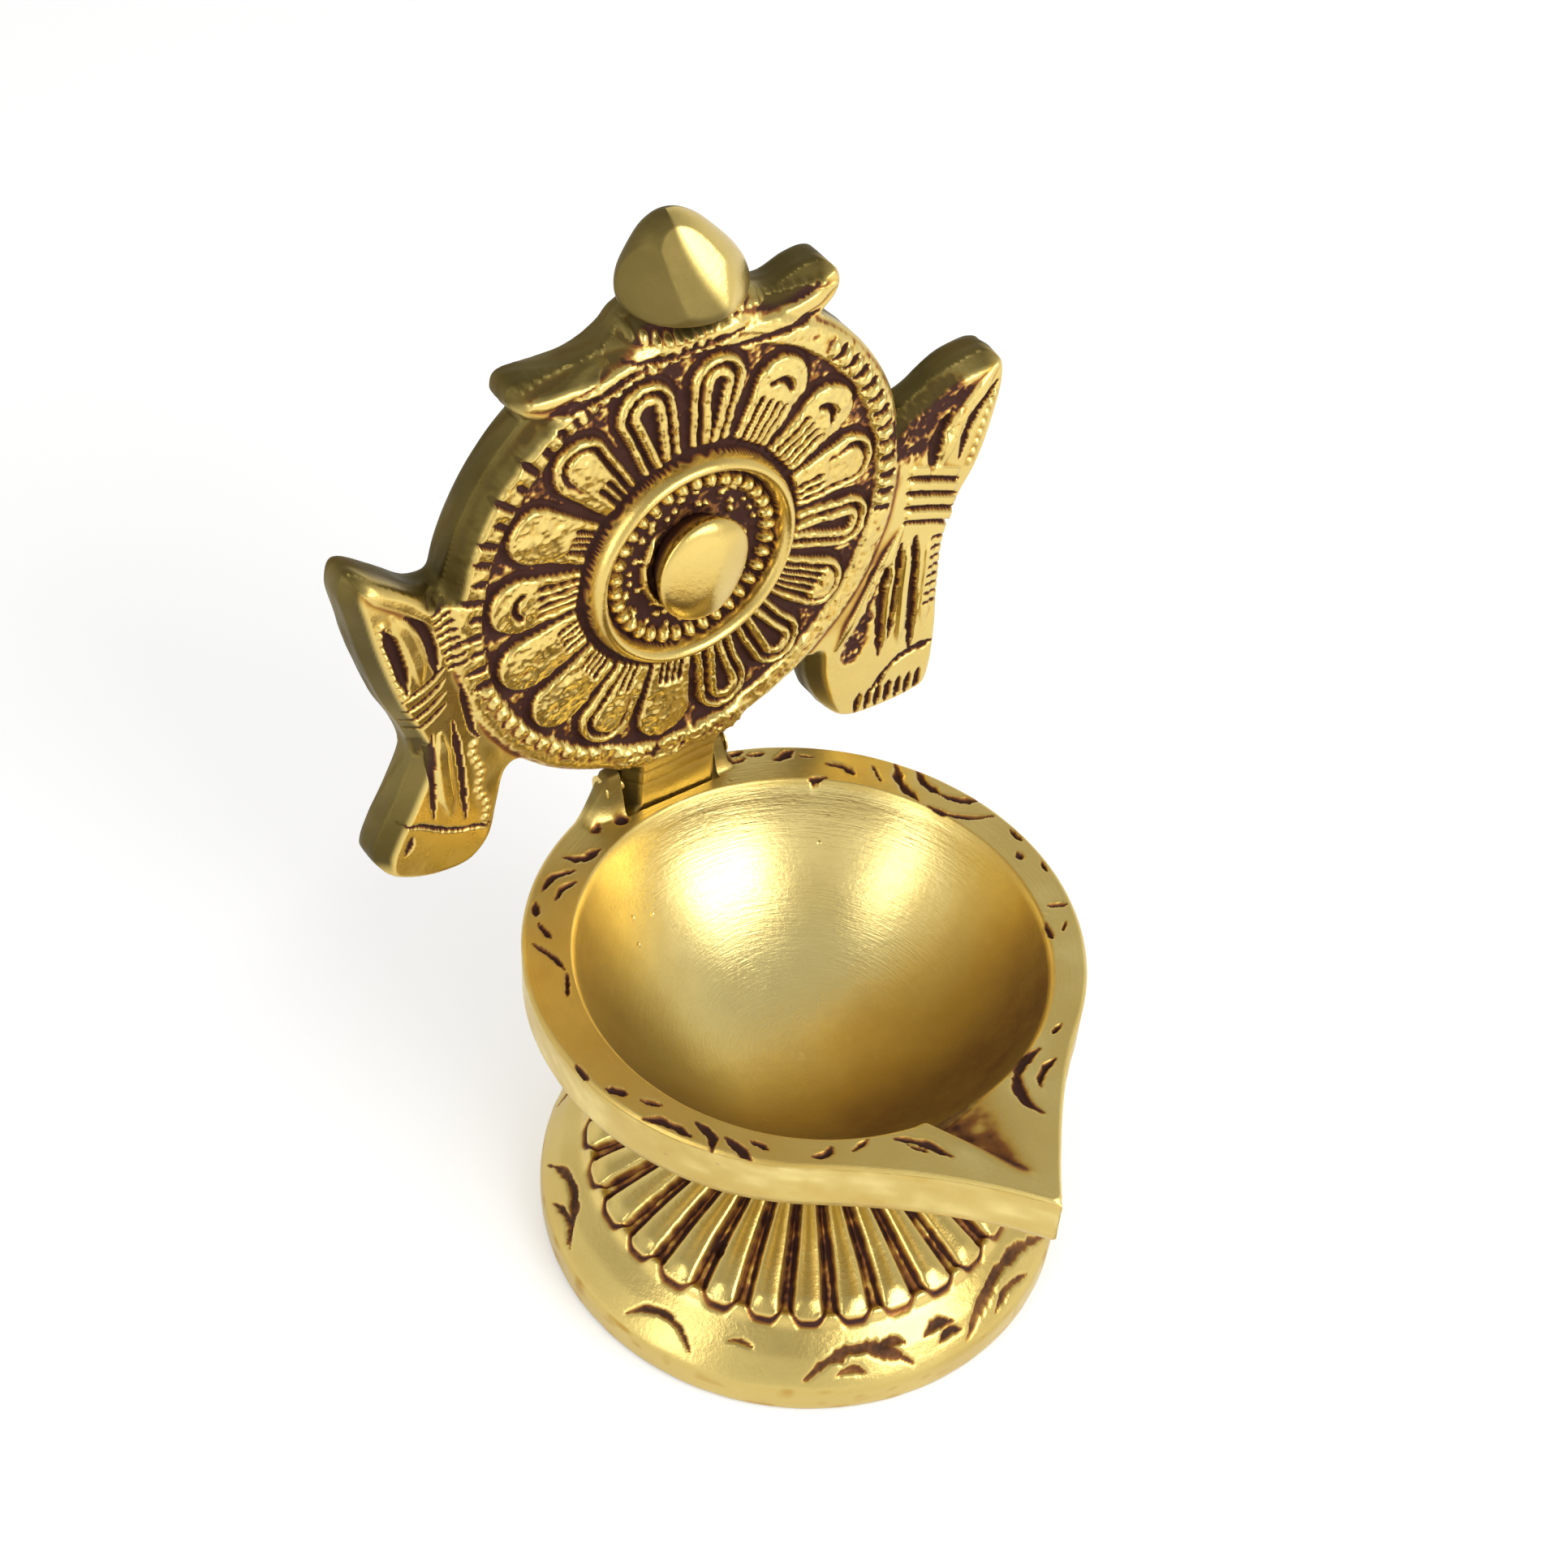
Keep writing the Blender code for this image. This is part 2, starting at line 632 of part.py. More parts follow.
def main():
    """Build the lamp."""
    clear_scene()
    parts = new_collection("diya_lamp")
    tools = new_collection("cutters_and_forms")
    grooves = new_collection("groove_cutters")
    petals = new_collection("petal_forms")
    brass = (0.80, 0.58, 0.22)
    build_bowl(parts, tools, metal("bowl_brass", brass, 0.30))
    build_pedestal(parts, tools, grooves, metal("pedestal_brass", brass, 0.34))
    build_plate(parts, tools, petals, metal("plate_brass", brass, 0.38))
    build_pin(parts, metal("pin_brass", brass, 0.40))
    build_screw(parts, metal("screw_steel", (0.60, 0.60, 0.58), 0.35))
    build_washer(parts, metal("washer_steel", (0.62, 0.62, 0.60), 0.30))


main()
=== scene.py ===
"""Looks of the cast brass diya oil lamp: finely worked surfaces, aged brass, a pale studio and the camera.

Everything is worked out in millimetres in the lamp's own frame and turned into metres when a mesh is made.
The bowl, the foot and the folding plate are replaced by finer meshes on the same shapes as the CAD solids.
"""

import json
import math

import bmesh
import bpy
import numpy as np
from mathutils import Matrix, Vector
from mathutils.geometry import delaunay_2d_cdt


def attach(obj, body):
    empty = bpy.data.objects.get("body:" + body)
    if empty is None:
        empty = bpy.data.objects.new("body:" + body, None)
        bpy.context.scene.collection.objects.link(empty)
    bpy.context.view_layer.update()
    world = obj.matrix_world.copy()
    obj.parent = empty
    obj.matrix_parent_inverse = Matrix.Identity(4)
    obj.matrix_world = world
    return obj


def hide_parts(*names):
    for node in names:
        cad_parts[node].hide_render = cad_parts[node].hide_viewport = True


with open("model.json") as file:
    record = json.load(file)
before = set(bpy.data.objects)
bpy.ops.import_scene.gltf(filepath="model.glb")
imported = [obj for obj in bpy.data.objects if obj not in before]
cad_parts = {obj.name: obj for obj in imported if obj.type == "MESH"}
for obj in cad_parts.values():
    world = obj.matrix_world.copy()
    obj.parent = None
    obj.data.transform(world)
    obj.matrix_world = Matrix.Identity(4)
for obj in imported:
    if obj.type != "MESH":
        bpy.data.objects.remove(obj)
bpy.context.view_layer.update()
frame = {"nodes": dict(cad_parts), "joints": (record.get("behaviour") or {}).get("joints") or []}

MM = 0.001

# Reference lines of the lamp, from the frame.
HINGE = Vector(frame["joints"][0]["pos_m"]) / MM
RIM_Z = HINGE.z - 2.0
BOWL_Y = HINGE.y - 23.33
FOOT_Y = BOWL_Y - 1.63
OUTER_Y = BOWL_Y + 1.08

# Bowl.
CAVITY_RADIUS = 20.0
CAVITY_DEPTH = 14.5
OUTER_RADIUS = 23.68
SPOUT_REACH = 32.58
FLANK_RADIUS = 60.0
BAND_HEIGHT = 4.8
BASE_Z = 13.4
NECK_RADIUS = 9.0
SLOT_HALF_WIDTH = 4.85
SLOT_FRONT_Y = BOWL_Y + 20.95
SLOT_DEPTH = 2.7

# Foot.
FOOT_RADIUS = 23.63
PETAL_COUNT = 28

# Folding plate.
PLATE_THICKNESS = 3.8
PLATE_FACE_Y = HINGE.y - PLATE_THICKNESS / 2
DISC_RADIUS = 21.8
DISC_V = 27.2
TANG_HALF_WIDTH = 4.45


# Numbers and noise.

def smoothstep(low, high, value):
    """0 below low, 1 above high, and a smooth rise between."""
    way = np.clip((value - low) / (high - low), 0.0, 1.0)
    return way * way * (3.0 - 2.0 * way)


def noise(x, y, size, seed):
    """Smooth seeded noise from -1 to 1 with lumps of the given size."""
    table = np.random.default_rng(seed).uniform(-1.0, 1.0, (128, 128))
    gx = np.asarray(x) / size
    gy = np.asarray(y) / size
    ix = np.floor(gx).astype(int)
    iy = np.floor(gy).astype(int)
    fx = smoothstep(0.0, 1.0, gx - ix)
    fy = smoothstep(0.0, 1.0, gy - iy)
    near = table[iy % 128, ix % 128] * (1 - fx) + table[iy % 128, (ix + 1) % 128] * fx
    far = table[(iy + 1) % 128, ix % 128] * (1 - fx) + table[(iy + 1) % 128, (ix + 1) % 128] * fx
    return near * (1 - fy) + far * fy


def rough_cast(x, y, seed):
    """Granular sand-cast noise, about -1 to 1, from three sizes of lump."""
    large, middle, small = (noise(x, y, size, seed + step) for step, size in enumerate((0.9, 0.42, 0.24)))
    return 0.5 * large + 0.35 * middle + 0.25 * small


def round_top(offset, half_width):
    """Height from 0 to 1 of a half-round ridge at an offset from its middle."""
    return np.sqrt(np.clip(1.0 - (offset / half_width) ** 2, 0.0, 1.0))


def bell(offset, half_width):
    """A bell curve, 1 in the middle and about a third at half_width."""
    return np.exp(-((offset / half_width) ** 2))


def smooth_curve(points, count, closed=False):
    """A Catmull-Rom curve through the points, as an array of count points a span."""
    knots = np.array(points, float)
    if closed:
        knots = np.vstack([knots[-1], knots, knots[:2]])
    else:
        knots = np.vstack([2 * knots[0] - knots[1], knots, 2 * knots[-1] - knots[-2]])
    ways = np.linspace(0.0, 1.0, count, endpoint=False)[:, None]
    spans = []
    for a, b, c, d in zip(knots, knots[1:], knots[2:], knots[3:]):
        slope = c - a
        bend = 2 * a - 5 * b + 4 * c - d
        twist = 3 * b - a - 3 * c + d
        spans.append(0.5 * (2 * b + slope * ways + bend * ways**2 + twist * ways**3))
    if not closed:
        spans.append(knots[-2][None])
    return np.vstack(spans)


def segment_distances(x, y, line):
    """Distance of each point from a polyline, and how far along it the nearest place is, from 0 to 1."""
    best = np.full(x.shape, 1e9)
    along = np.zeros(x.shape)
    steps = np.hypot(*np.diff(line, axis=0).T)
    travelled = np.concatenate([[0.0], np.cumsum(steps)])
    for index, (start, end) in enumerate(zip(line, line[1:])):
        run = end - start
        way = ((x - start[0]) * run[0] + (y - start[1]) * run[1]) / max(run @ run, 1e-12)
        way = np.clip(way, 0.0, 1.0)
        gap = np.hypot(x - start[0] - way * run[0], y - start[1] - way * run[1])
        nearer = gap < best
        best = np.where(nearer, gap, best)
        along = np.where(nearer, travelled[index] + way * steps[index], along)
    return best, along / max(travelled[-1], 1e-9)


def inside_polygon(x, y, line):
    """True where a point lies inside the closed polyline."""
    inside = np.zeros(x.shape, bool)
    for start, end in zip(line, np.roll(line, -1, axis=0)):
        if start[1] == end[1]:
            continue
        crosses = (start[1] > y) != (end[1] > y)
        reach = start[0] + (y - start[1]) * (end[0] - start[0]) / (end[1] - start[1])
        inside ^= crosses & (x < reach)
    return inside


def blurred(field, radius, step):
    """The field smoothed by a bell curve of the given radius, in millimetres."""
    reach = max(1, int(3 * radius / step))
    kernel = np.exp(-0.5 * (np.arange(-reach, reach + 1) * step / radius) ** 2)
    kernel /= kernel.sum()
    wide = np.pad(field, reach, mode="edge")
    rows = sum(weight * wide[:, k:k + field.shape[1]] for k, weight in enumerate(kernel))
    return sum(weight * rows[k:k + field.shape[0], :] for k, weight in enumerate(kernel))


def blur_loop(values, reach):
    """A closed run of values smoothed over its neighbours."""
    total = sum(np.roll(values, shift, axis=0) for shift in range(-reach, reach + 1))
    return total / (2 * reach + 1)


class Relief:
    """A height map on a fine square grid, with maps of how dark the patina and painted shade lie and how raw
    the metal is.
    """

    def __init__(self, low, high, step):
        self.step = step
        self.xs = np.arange(low[0], high[0] + step, step)
        self.ys = np.arange(low[1], high[1] + step, step)
        self.x, self.y = np.meshgrid(self.xs, self.ys)
        self.height = np.zeros(self.x.shape)
        self.patina_and_shade = np.zeros(self.x.shape)
        self.raw_and_shade = np.zeros(self.x.shape)

    def darken(self, patina_and_shade):
        """Darken the patina and painted shade map to at least this value over the whole grid."""
        self.patina_and_shade = np.maximum(self.patina_and_shade, patina_and_shade)

    def window(self, line, reach):
        """The part of the grid within reach of a line's box."""
        line = np.atleast_2d(line)
        columns = slice(*np.searchsorted(self.xs, (line[:, 0].min() - reach, line[:, 0].max() + reach)))
        rows = slice(*np.searchsorted(self.ys, (line[:, 1].min() - reach, line[:, 1].max() + reach)))
        return rows, columns

    def line(self, points, half_width, height, patina_and_shade=0.0, taper=0.25, rough=0.0, seed=1):
        """Raise a rounded ridge, or with a negative height cut a groove, along a curve through the points."""
        curve = smooth_curve(points, 6)
        part = self.window(curve, 2 * half_width)
        x, y = self.x[part], self.y[part]
        gap, along = segment_distances(x, y, curve)
        ends = smoothstep(0.0, taper, along) * smoothstep(0.0, taper, 1.0 - along) if taper else 1.0
        width = half_width * (0.35 + 0.65 * ends)
        if rough:
            width = width * (1.0 + rough * rough_cast(x, y, seed))
        shape = smoothstep(0.0, 1.0, 1.35 * np.clip(1.0 - (gap / (1.25 * width)) ** 2, 0.0, 1.0))
        self.height[part] += height * shape * (0.3 + 0.7 * ends)
        if patina_and_shade > 0:
            self.patina_and_shade[part] = np.maximum(self.patina_and_shade[part], patina_and_shade * shape)
        else:
            self.patina_and_shade[part] *= 1.0 - 0.8 * shape

    def bead(self, place, radius, height, squash=1.0, angle=0.0):
        """Raise one round or oval bead."""
        part = self.window(np.array([place]), 1.3 * radius * max(1.0, squash))
        x, y = self.x[part] - place[0], self.y[part] - place[1]
        along = (x * math.cos(angle) + y * math.sin(angle)) / squash
        across = -x * math.sin(angle) + y * math.cos(angle)
        dome = np.sqrt(np.clip(1.0 - (along**2 + across**2) / radius**2, 0.0, 1.0))
        self.height[part] += height * dome
        self.patina_and_shade[part] *= 1.0 - 0.9 * dome

    def settle(self, fine, coarse, strength):
        """Patina gathers where the surface lies lower than what is round it."""
        low = np.clip((blurred(self.height, coarse, self.step) - self.height) / 0.45, 0.0, 1.0)
        tight = np.clip((blurred(self.height, fine, self.step) - self.height) / 0.12, 0.0, 1.0)
        high = np.clip((self.height - blurred(self.height, fine, self.step)) / 0.08, 0.0, 1.0)
        self.patina_and_shade = np.clip(self.patina_and_shade + strength * (0.75 * low + 0.5 * tight) - 0.35 * high, 0.0, 1.0)

    def at(self, field, x, y):
        """A field of this grid read at any points."""
        gx = np.clip((np.asarray(x) - self.xs[0]) / self.step, 0, len(self.xs) - 1.001)
        gy = np.clip((np.asarray(y) - self.ys[0]) / self.step, 0, len(self.ys) - 1.001)
        ix, iy = gx.astype(int), gy.astype(int)
        fx, fy = gx - ix, gy - iy
        near = field[iy, ix] * (1 - fx) + field[iy, ix + 1] * fx
        far = field[iy + 1, ix] * (1 - fx) + field[iy + 1, ix + 1] * fx
        return near * (1 - fy) + far * fy


# Meshes.

def make_object(name, points, faces, surface, attributes, body, node=None):
    """A smooth mesh object from points in millimetres, riding on a body."""
    mesh = bpy.data.meshes.new(name)
    mesh.from_pydata((np.asarray(points) * MM).tolist(), [], faces)
    mesh.update()
    for label, values in attributes.items():
        layer = mesh.attributes.new(label, "FLOAT", "POINT")
        layer.data.foreach_set("value", np.asarray(values, np.float32))
    mesh.materials.append(surface)
    mesh.shade_smooth()
    made = bpy.data.objects.new(name, mesh)
    bpy.context.scene.collection.objects.link(made)
    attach(made, body)
    if node:
        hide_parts(node)
    return made


def object_from_shape(name, shape):
    """A plain object from a bmesh, which is used up."""
    mesh = bpy.data.meshes.new(name)
    shape.to_mesh(mesh)
    shape.free()
    made = bpy.data.objects.new(name, mesh)
    bpy.context.scene.collection.objects.link(made)
    return made


def ring_faces(rings, steps, closed_ends=(False, False)):
    """Quads between rings of points, with a fan's single point at an end that is closed."""
    faces = []
    for ring in range(rings - 1):
        low = ring * steps
        for index in range(steps):
            after = (index + 1) % steps
            faces.append((low + index, low + steps + index, low + steps + after, low + after))
    last = rings * steps
    if closed_ends[0]:
        faces += [(last, index, (index + 1) % steps) for index in range(steps)]
        last += 1
    if closed_ends[1]:
        low = (rings - 1) * steps
        faces += [(last, low + (index + 1) % steps, low + index) for index in range(steps)]
    return faces


# Materials.

def shader_node(tree, kind, inputs=None, **settings):
    """Add a shader node, with its settings and its inputs, which are values or other nodes' outputs."""
    made = tree.nodes.new(kind)
    for setting, value in settings.items():
        setattr(made, setting, value)
    for key, value in (inputs or {}).items():
        if isinstance(value, bpy.types.NodeSocket):
            tree.links.new(value, made.inputs[key])
        else:
            made.inputs[key].default_value = value
    return made


def math_node(tree, operation, first, second, clamp=False):
    """The output of one Math node, held between 0 and 1 if clamp is set."""
    made = shader_node(tree, "ShaderNodeMath", {0: first, 1: second}, operation=operation, use_clamp=clamp)
    return made.outputs[0]


def noise_node(tree, place, scale, detail, roughness):
    """The grey output of a noise texture in object space."""
    inputs = {"Vector": place, "Scale": scale, "Detail": detail, "Roughness": roughness}
    return shader_node(tree, "ShaderNodeTexNoise", inputs).outputs["Fac"]


def ramp_node(tree, value, stops):
    """A colour ramp through (place, colour) stops."""
    made = shader_node(tree, "ShaderNodeValToRGB", {"Fac": value})
    ramp = made.color_ramp
    while len(ramp.elements) < len(stops):
        ramp.elements.new(0.5)
    for element, (place, colour) in zip(ramp.elements, stops):
        element.position = place
        element.color = (*colour, 1.0)
    return made.outputs["Color"]


def range_node(tree, value, low, high, to_low, to_high):
    """A value mapped from one range to another, held at its ends."""
    inputs = {"Value": value, "From Min": low, "From Max": high, "To Min": to_low, "To Max": to_high}
    return shader_node(tree, "ShaderNodeMapRange", inputs, interpolation_type="SMOOTHSTEP").outputs["Result"]


def blend_colours(tree, factor, first, second):
    """Two colours mixed by a factor. The mixing node's sockets 6 and 7 and output 2 are its colours."""
    return shader_node(tree, "ShaderNodeMix", {0: factor, 6: first, 7: second}, data_type="RGBA").outputs[2]


def add_bump(tree, shader, height, strength, depth):
    """Turn a height field into the surface's fine relief, depth metres high."""
    bump = shader_node(tree, "ShaderNodeBump", {"Height": height, "Strength": strength, "Distance": depth})
    tree.links.new(bump.outputs[0], shader.inputs["Normal"])


def new_material(name):
    """A new material with its node tree and its main shader."""
    made = bpy.data.materials.new(name)
    made.use_nodes = True
    return made, made.node_tree, made.node_tree.nodes["Principled BSDF"]


# Colours of the brass from cleanest to darkest, and of raw brass that has tarnished evenly. The darker ones
# also paint shade in the bowl's hollow and channel, along the foot's petals and under the boss's dome.
PALE_GOLD = (0.93, 0.76, 0.30)
GOLD = (0.72, 0.55, 0.18)
DEEP_GOLD = (0.58, 0.37, 0.08)
BROWN = (0.27, 0.100, 0.030)
DARK = (0.052, 0.020, 0.014)
OLIVE = (0.088, 0.064, 0.017)


def turning_vector(tree, place):
    """A vector that runs quickly across the marks left by turning the bowl, and slowly along them."""
    parts = shader_node(tree, "ShaderNodeSeparateXYZ", {"Vector": place}).outputs
    forward = math_node(tree, "SUBTRACT", parts["Y"], BOWL_Y * MM)
    flat = shader_node(tree, "ShaderNodeCombineXYZ", {"X": parts["X"], "Y": forward}).outputs[0]
    reach = shader_node(tree, "ShaderNodeVectorMath", {0: flat}, operation="LENGTH").outputs["Value"]
    angle = math_node(tree, "ARCTAN2", forward, parts["X"])
    inputs = {
        "X": math_node(tree, "MULTIPLY", reach, 5200.0),
        "Y": math_node(tree, "MULTIPLY", parts["Z"], 3000.0),
        "Z": math_node(tree, "MULTIPLY", angle, 5.0),
    }
    return shader_node(tree, "ShaderNodeCombineXYZ", inputs).outputs[0]


def aged_brass(name, clean, polish, grain, scratches=0.0, pits=0.0):
    """Cast brass: polished gold on the high places, brown to black patina in the low ones, dull and olive
    where the metal is raw. Both maps also carry painted shade where a mesh lays it.

    clean is the colour of its cleanest places, and polish the roughness of the clean metal. grain, scratches
    and pits are the strengths of the fine cast texture, the turning marks and small scattered holes.
    """
    made, tree, shader = new_material(name)
    shader.inputs["Specular IOR Level"].default_value = 0.1
    place = shader_node(tree, "ShaderNodeTexCoord").outputs["Object"]
    patina_and_shade = shader_node(tree, "ShaderNodeAttribute", attribute_name="patina_and_shade").outputs["Fac"]
    raw_and_shade = shader_node(tree, "ShaderNodeAttribute", attribute_name="raw_and_shade").outputs["Fac"]

    mottle = noise_node(tree, place, 320.0, 5.0, 0.65)
    cloud = noise_node(tree, place, 75.0, 3.0, 0.55)
    speck = noise_node(tree, place, 2200.0, 2.0, 0.7)
    ragged = math_node(tree, "MULTIPLY", math_node(tree, "SUBTRACT", mottle, 0.5), 0.9)
    weight = range_node(tree, patina_and_shade, 0.25, 0.6, 0.08, 1.0)
    depth = math_node(tree, "ADD", patina_and_shade, math_node(tree, "MULTIPLY", ragged, weight), clamp=True)
    shades = [(0.02, clean), (0.09, GOLD), (0.21, DEEP_GOLD), (0.38, BROWN), (0.70, DARK)]
    patina_and_shade_colour = ramp_node(tree, depth, shades)
    clear = math_node(tree, "SUBTRACT", 1.0, math_node(tree, "MULTIPLY", depth, 1.6), clamp=True)
    warmth = math_node(tree, "MULTIPLY", range_node(tree, cloud, 0.38, 0.66, 0.0, 0.32), clear)
    warm = blend_colours(tree, warmth, patina_and_shade_colour, (*DEEP_GOLD, 1.0))
    tarnish_and_shade = math_node(tree, "MULTIPLY", raw_and_shade, range_node(tree, cloud, 0.3, 0.7, 0.82, 1.0), clamp=True)
    colour = blend_colours(tree, tarnish_and_shade, warm, (*OLIVE, 1.0))
    tree.links.new(colour, shader.inputs["Base Color"])

    metal = math_node(tree, "SUBTRACT", 1.0, math_node(tree, "MULTIPLY", depth, 1.1), clamp=True)
    tree.links.new(metal, shader.inputs["Metallic"])
    dull = math_node(tree, "ADD", math_node(tree, "MULTIPLY", depth, 0.42), polish)
    smudge = math_node(tree, "MULTIPLY", math_node(tree, "SUBTRACT", mottle, 0.45), 0.11)
    uneven = math_node(tree, "ADD", dull, smudge)
    uneven = math_node(tree, "ADD", uneven, math_node(tree, "MULTIPLY", raw_and_shade, 0.22), clamp=True)
    tree.links.new(uneven, shader.inputs["Roughness"])

    height = math_node(tree, "MULTIPLY", speck, grain)
    lumps = math_node(tree, "MULTIPLY", mottle, 1.1 * grain)
    height = math_node(tree, "ADD", height, lumps)
    if scratches:
        lines = noise_node(tree, turning_vector(tree, place), 1.0, 3.0, 0.7)
        height = math_node(tree, "ADD", height, math_node(tree, "MULTIPLY", lines, scratches))
    if pits:
        cells = shader_node(tree, "ShaderNodeTexVoronoi", {"Vector": place, "Scale": 420.0})
        hole = range_node(tree, cells.outputs["Distance"], 0.03, 0.13, 1.0, 0.0)
        few = range_node(tree, cloud, 0.50, 0.60, 0.0, 1.0)
        hole = math_node(tree, "MULTIPLY", hole, few)
        height = math_node(tree, "SUBTRACT", height, math_node(tree, "MULTIPLY", hole, pits))
    add_bump(tree, shader, height, 1.0, 0.00005)
    return made


def turned_steel(name, colour):
    """Plain zinc-plated steel with a fine grain, darker and duller in clouds."""
    made, tree, shader = new_material(name)
    shader.inputs["Metallic"].default_value = 1.0
    place = shader_node(tree, "ShaderNodeTexCoord").outputs["Object"]
    cloud = noise_node(tree, place, 500.0, 4.0, 0.6)
    fine = noise_node(tree, place, 4000.0, 2.0, 0.7)
    darker = tuple(0.45 * part for part in colour)
    dusty = range_node(tree, cloud, 0.45, 0.75, 0.0, 0.8)
    tree.links.new(blend_colours(tree, dusty, (*colour, 1.0), (*darker, 1.0)), shader.inputs["Base Color"])
    tree.links.new(range_node(tree, cloud, 0.3, 0.7, 0.28, 0.5), shader.inputs["Roughness"])
    add_bump(tree, shader, fine, 0.5, 0.00003)
    return made


# Folding plate.

# Outlines of the plate's flat forms, as (across, height over the rim), through which a smooth curve runs.
LEFT_RIBBON = [
    (-13.5, 14.5), (-15.2, 12.6), (-17.0, 11.2), (-17.8, 8.0), (-18.6, 4.8), (-20.4, 2.9), (-23.0, 2.7),
    (-26.4, 3.7), (-28.6, 5.8), (-27.8, 8.6), (-26.0, 12.0), (-24.6, 15.6), (-25.4, 18.8), (-27.1, 22.8),
    (-28.4, 27.2), (-29.3, 31.4), (-29.7, 34.0), (-28.9, 35.6), (-26.4, 34.2), (-23.4, 31.9), (-20.4, 30.6),
    (-17.0, 24.0),
]
RIGHT_RIBBON = [
    (13.5, 12.5), (14.5, 9.4), (15.0, 6.2), (16.4, 3.0), (18.8, 0.7), (22.4, 0.1), (26.4, 0.3), (28.3, 1.3),
    (28.6, 6.0), (28.2, 12.0), (28.0, 17.6), (29.0, 21.8), (30.7, 25.2), (31.9, 29.6), (32.2, 33.6),
    (31.2, 35.6), (27.6, 35.3), (24.4, 33.4), (21.2, 31.4), (17.0, 24.0),
]
LEFT_SCROLL = [
    (-3.0, 43.0), (-9.0, 42.6), (-12.6, 43.8), (-14.6, 44.8), (-15.5, 46.0), (-14.8, 47.2), (-11.6, 47.3),
    (-8.6, 47.5), (-6.6, 48.6), (-5.0, 50.0), (-2.0, 50.6),
]
RIGHT_SCROLL = [
    (3.0, 43.0), (9.0, 44.4), (11.6, 45.8), (13.1, 47.2), (13.3, 48.6), (12.4, 49.7), (10.4, 49.6),
    (8.2, 48.8), (6.6, 48.9), (5.0, 49.6), (2.0, 50.6),
]
TANG = [
    (-TANG_HALF_WIDTH, -1.4), (TANG_HALF_WIDTH, -1.4), (TANG_HALF_WIDTH, 4.6), (7.2, 8.2), (-7.2, 8.2),
    (-TANG_HALF_WIDTH, 4.6),
]


def shape_distance(relief, outline):
    """Signed distance to a closed outline over the whole grid, below 0 inside."""
    reach, far = 3.0, 50.0
    field = np.full(relief.x.shape, far)
    part = relief.window(outline, reach)
    x, y = relief.x[part], relief.y[part]
    gap, _ = segment_distances(x, y, np.vstack([outline, outline[:1]]))
    field[part] = np.where(inside_polygon(x, y, outline), -gap, gap)
    return field


def join_distances(first, second, fillet):
    """Signed distance to two shapes together, with their inner corners filled."""
    way = np.clip(0.5 + 0.5 * (second - first) / fillet, 0.0, 1.0)
    return second * (1 - way) + first * way - fillet * way * (1 - way)


def plate_distance(relief):
    """Signed distance to the plate's whole outline."""
    field = np.hypot(relief.x, relief.y - DISC_V) - DISC_RADIUS
    for points in (LEFT_RIBBON, RIGHT_RIBBON, LEFT_SCROLL, RIGHT_SCROLL):
        field = join_distances(field, shape_distance(relief, smooth_curve(points, 6, closed=True)), 1.0)
    return join_distances(field, shape_distance(relief, np.array(TANG)), 0.8)


def disc_ground(relief):
    """The disc's turned relief: hem, petal ground, big ring and the recess round the boss."""
    radius = np.hypot(relief.x, relief.y - DISC_V)
    grit = rough_cast(relief.x, relief.y, 11)
    hem = smoothstep(18.6, 19.1, radius)
    ground = 0.42 + 0.20 * grit
    edge = (0.90 + 0.17 * grit) * hem * smoothstep(22.6, 20.6, radius)
    relief.height += np.where(radius < 18.9, ground, 0.0) * (1 - hem) + edge
    relief.patina_and_shade += np.where(radius < 18.9, 0.42 - 0.45 * grit, 0.0) * (1 - hem) + 0.20 * hem * (0.45 - grit)
    ring = round_top(radius - 9.05, 0.85)
    relief.height = np.where(radius < 9.9, np.maximum(0.5 + 2.0 * ring, 0.5), relief.height)
    relief.patina_and_shade = np.where(np.abs(radius - 9.05) < 0.85, 0.0, relief.patina_and_shade)
    trench = smoothstep(9.7, 9.95, radius) * smoothstep(11.0, 10.5, radius)
    relief.darken(0.95 * trench)
    well = smoothstep(8.3, 7.9, radius)
    relief.height += well * (0.25 + 0.16 * grit)
    relief.patina_and_shade = np.where(radius < 8.2, 0.70 - 0.40 * grit, relief.patina_and_shade)
    collar = round_top(radius - 4.5, 0.34)
    collar *= smoothstep(1.5, -1.5, relief.y - DISC_V + 0.8 * relief.x)
    relief.height += 0.8 * collar
    relief.patina_and_shade *= 1.0 - collar


def petal_angle(index):
    """Angle of a petal's middle line from straight up, clockwise, a little uneven as carved by hand."""
    angle = 360.0 / 16 * index + 5.0
    return math.radians(angle + 1.8 + 2.2 * math.cos(math.radians(angle - 95.0)))


# The carving of the sixteen petals, clockwise from the top: arch in an arch, slotted tip, or plain cushion.
PETAL_STYLES = ["arch", "slot", "slot", "slot_arch", "arch", "lines", "arch", "arch"]
PETAL_STYLES += ["cushion", "slot_arch", "cushion", "cushion", "slot", "cushion", "slot_arch", "arch"]


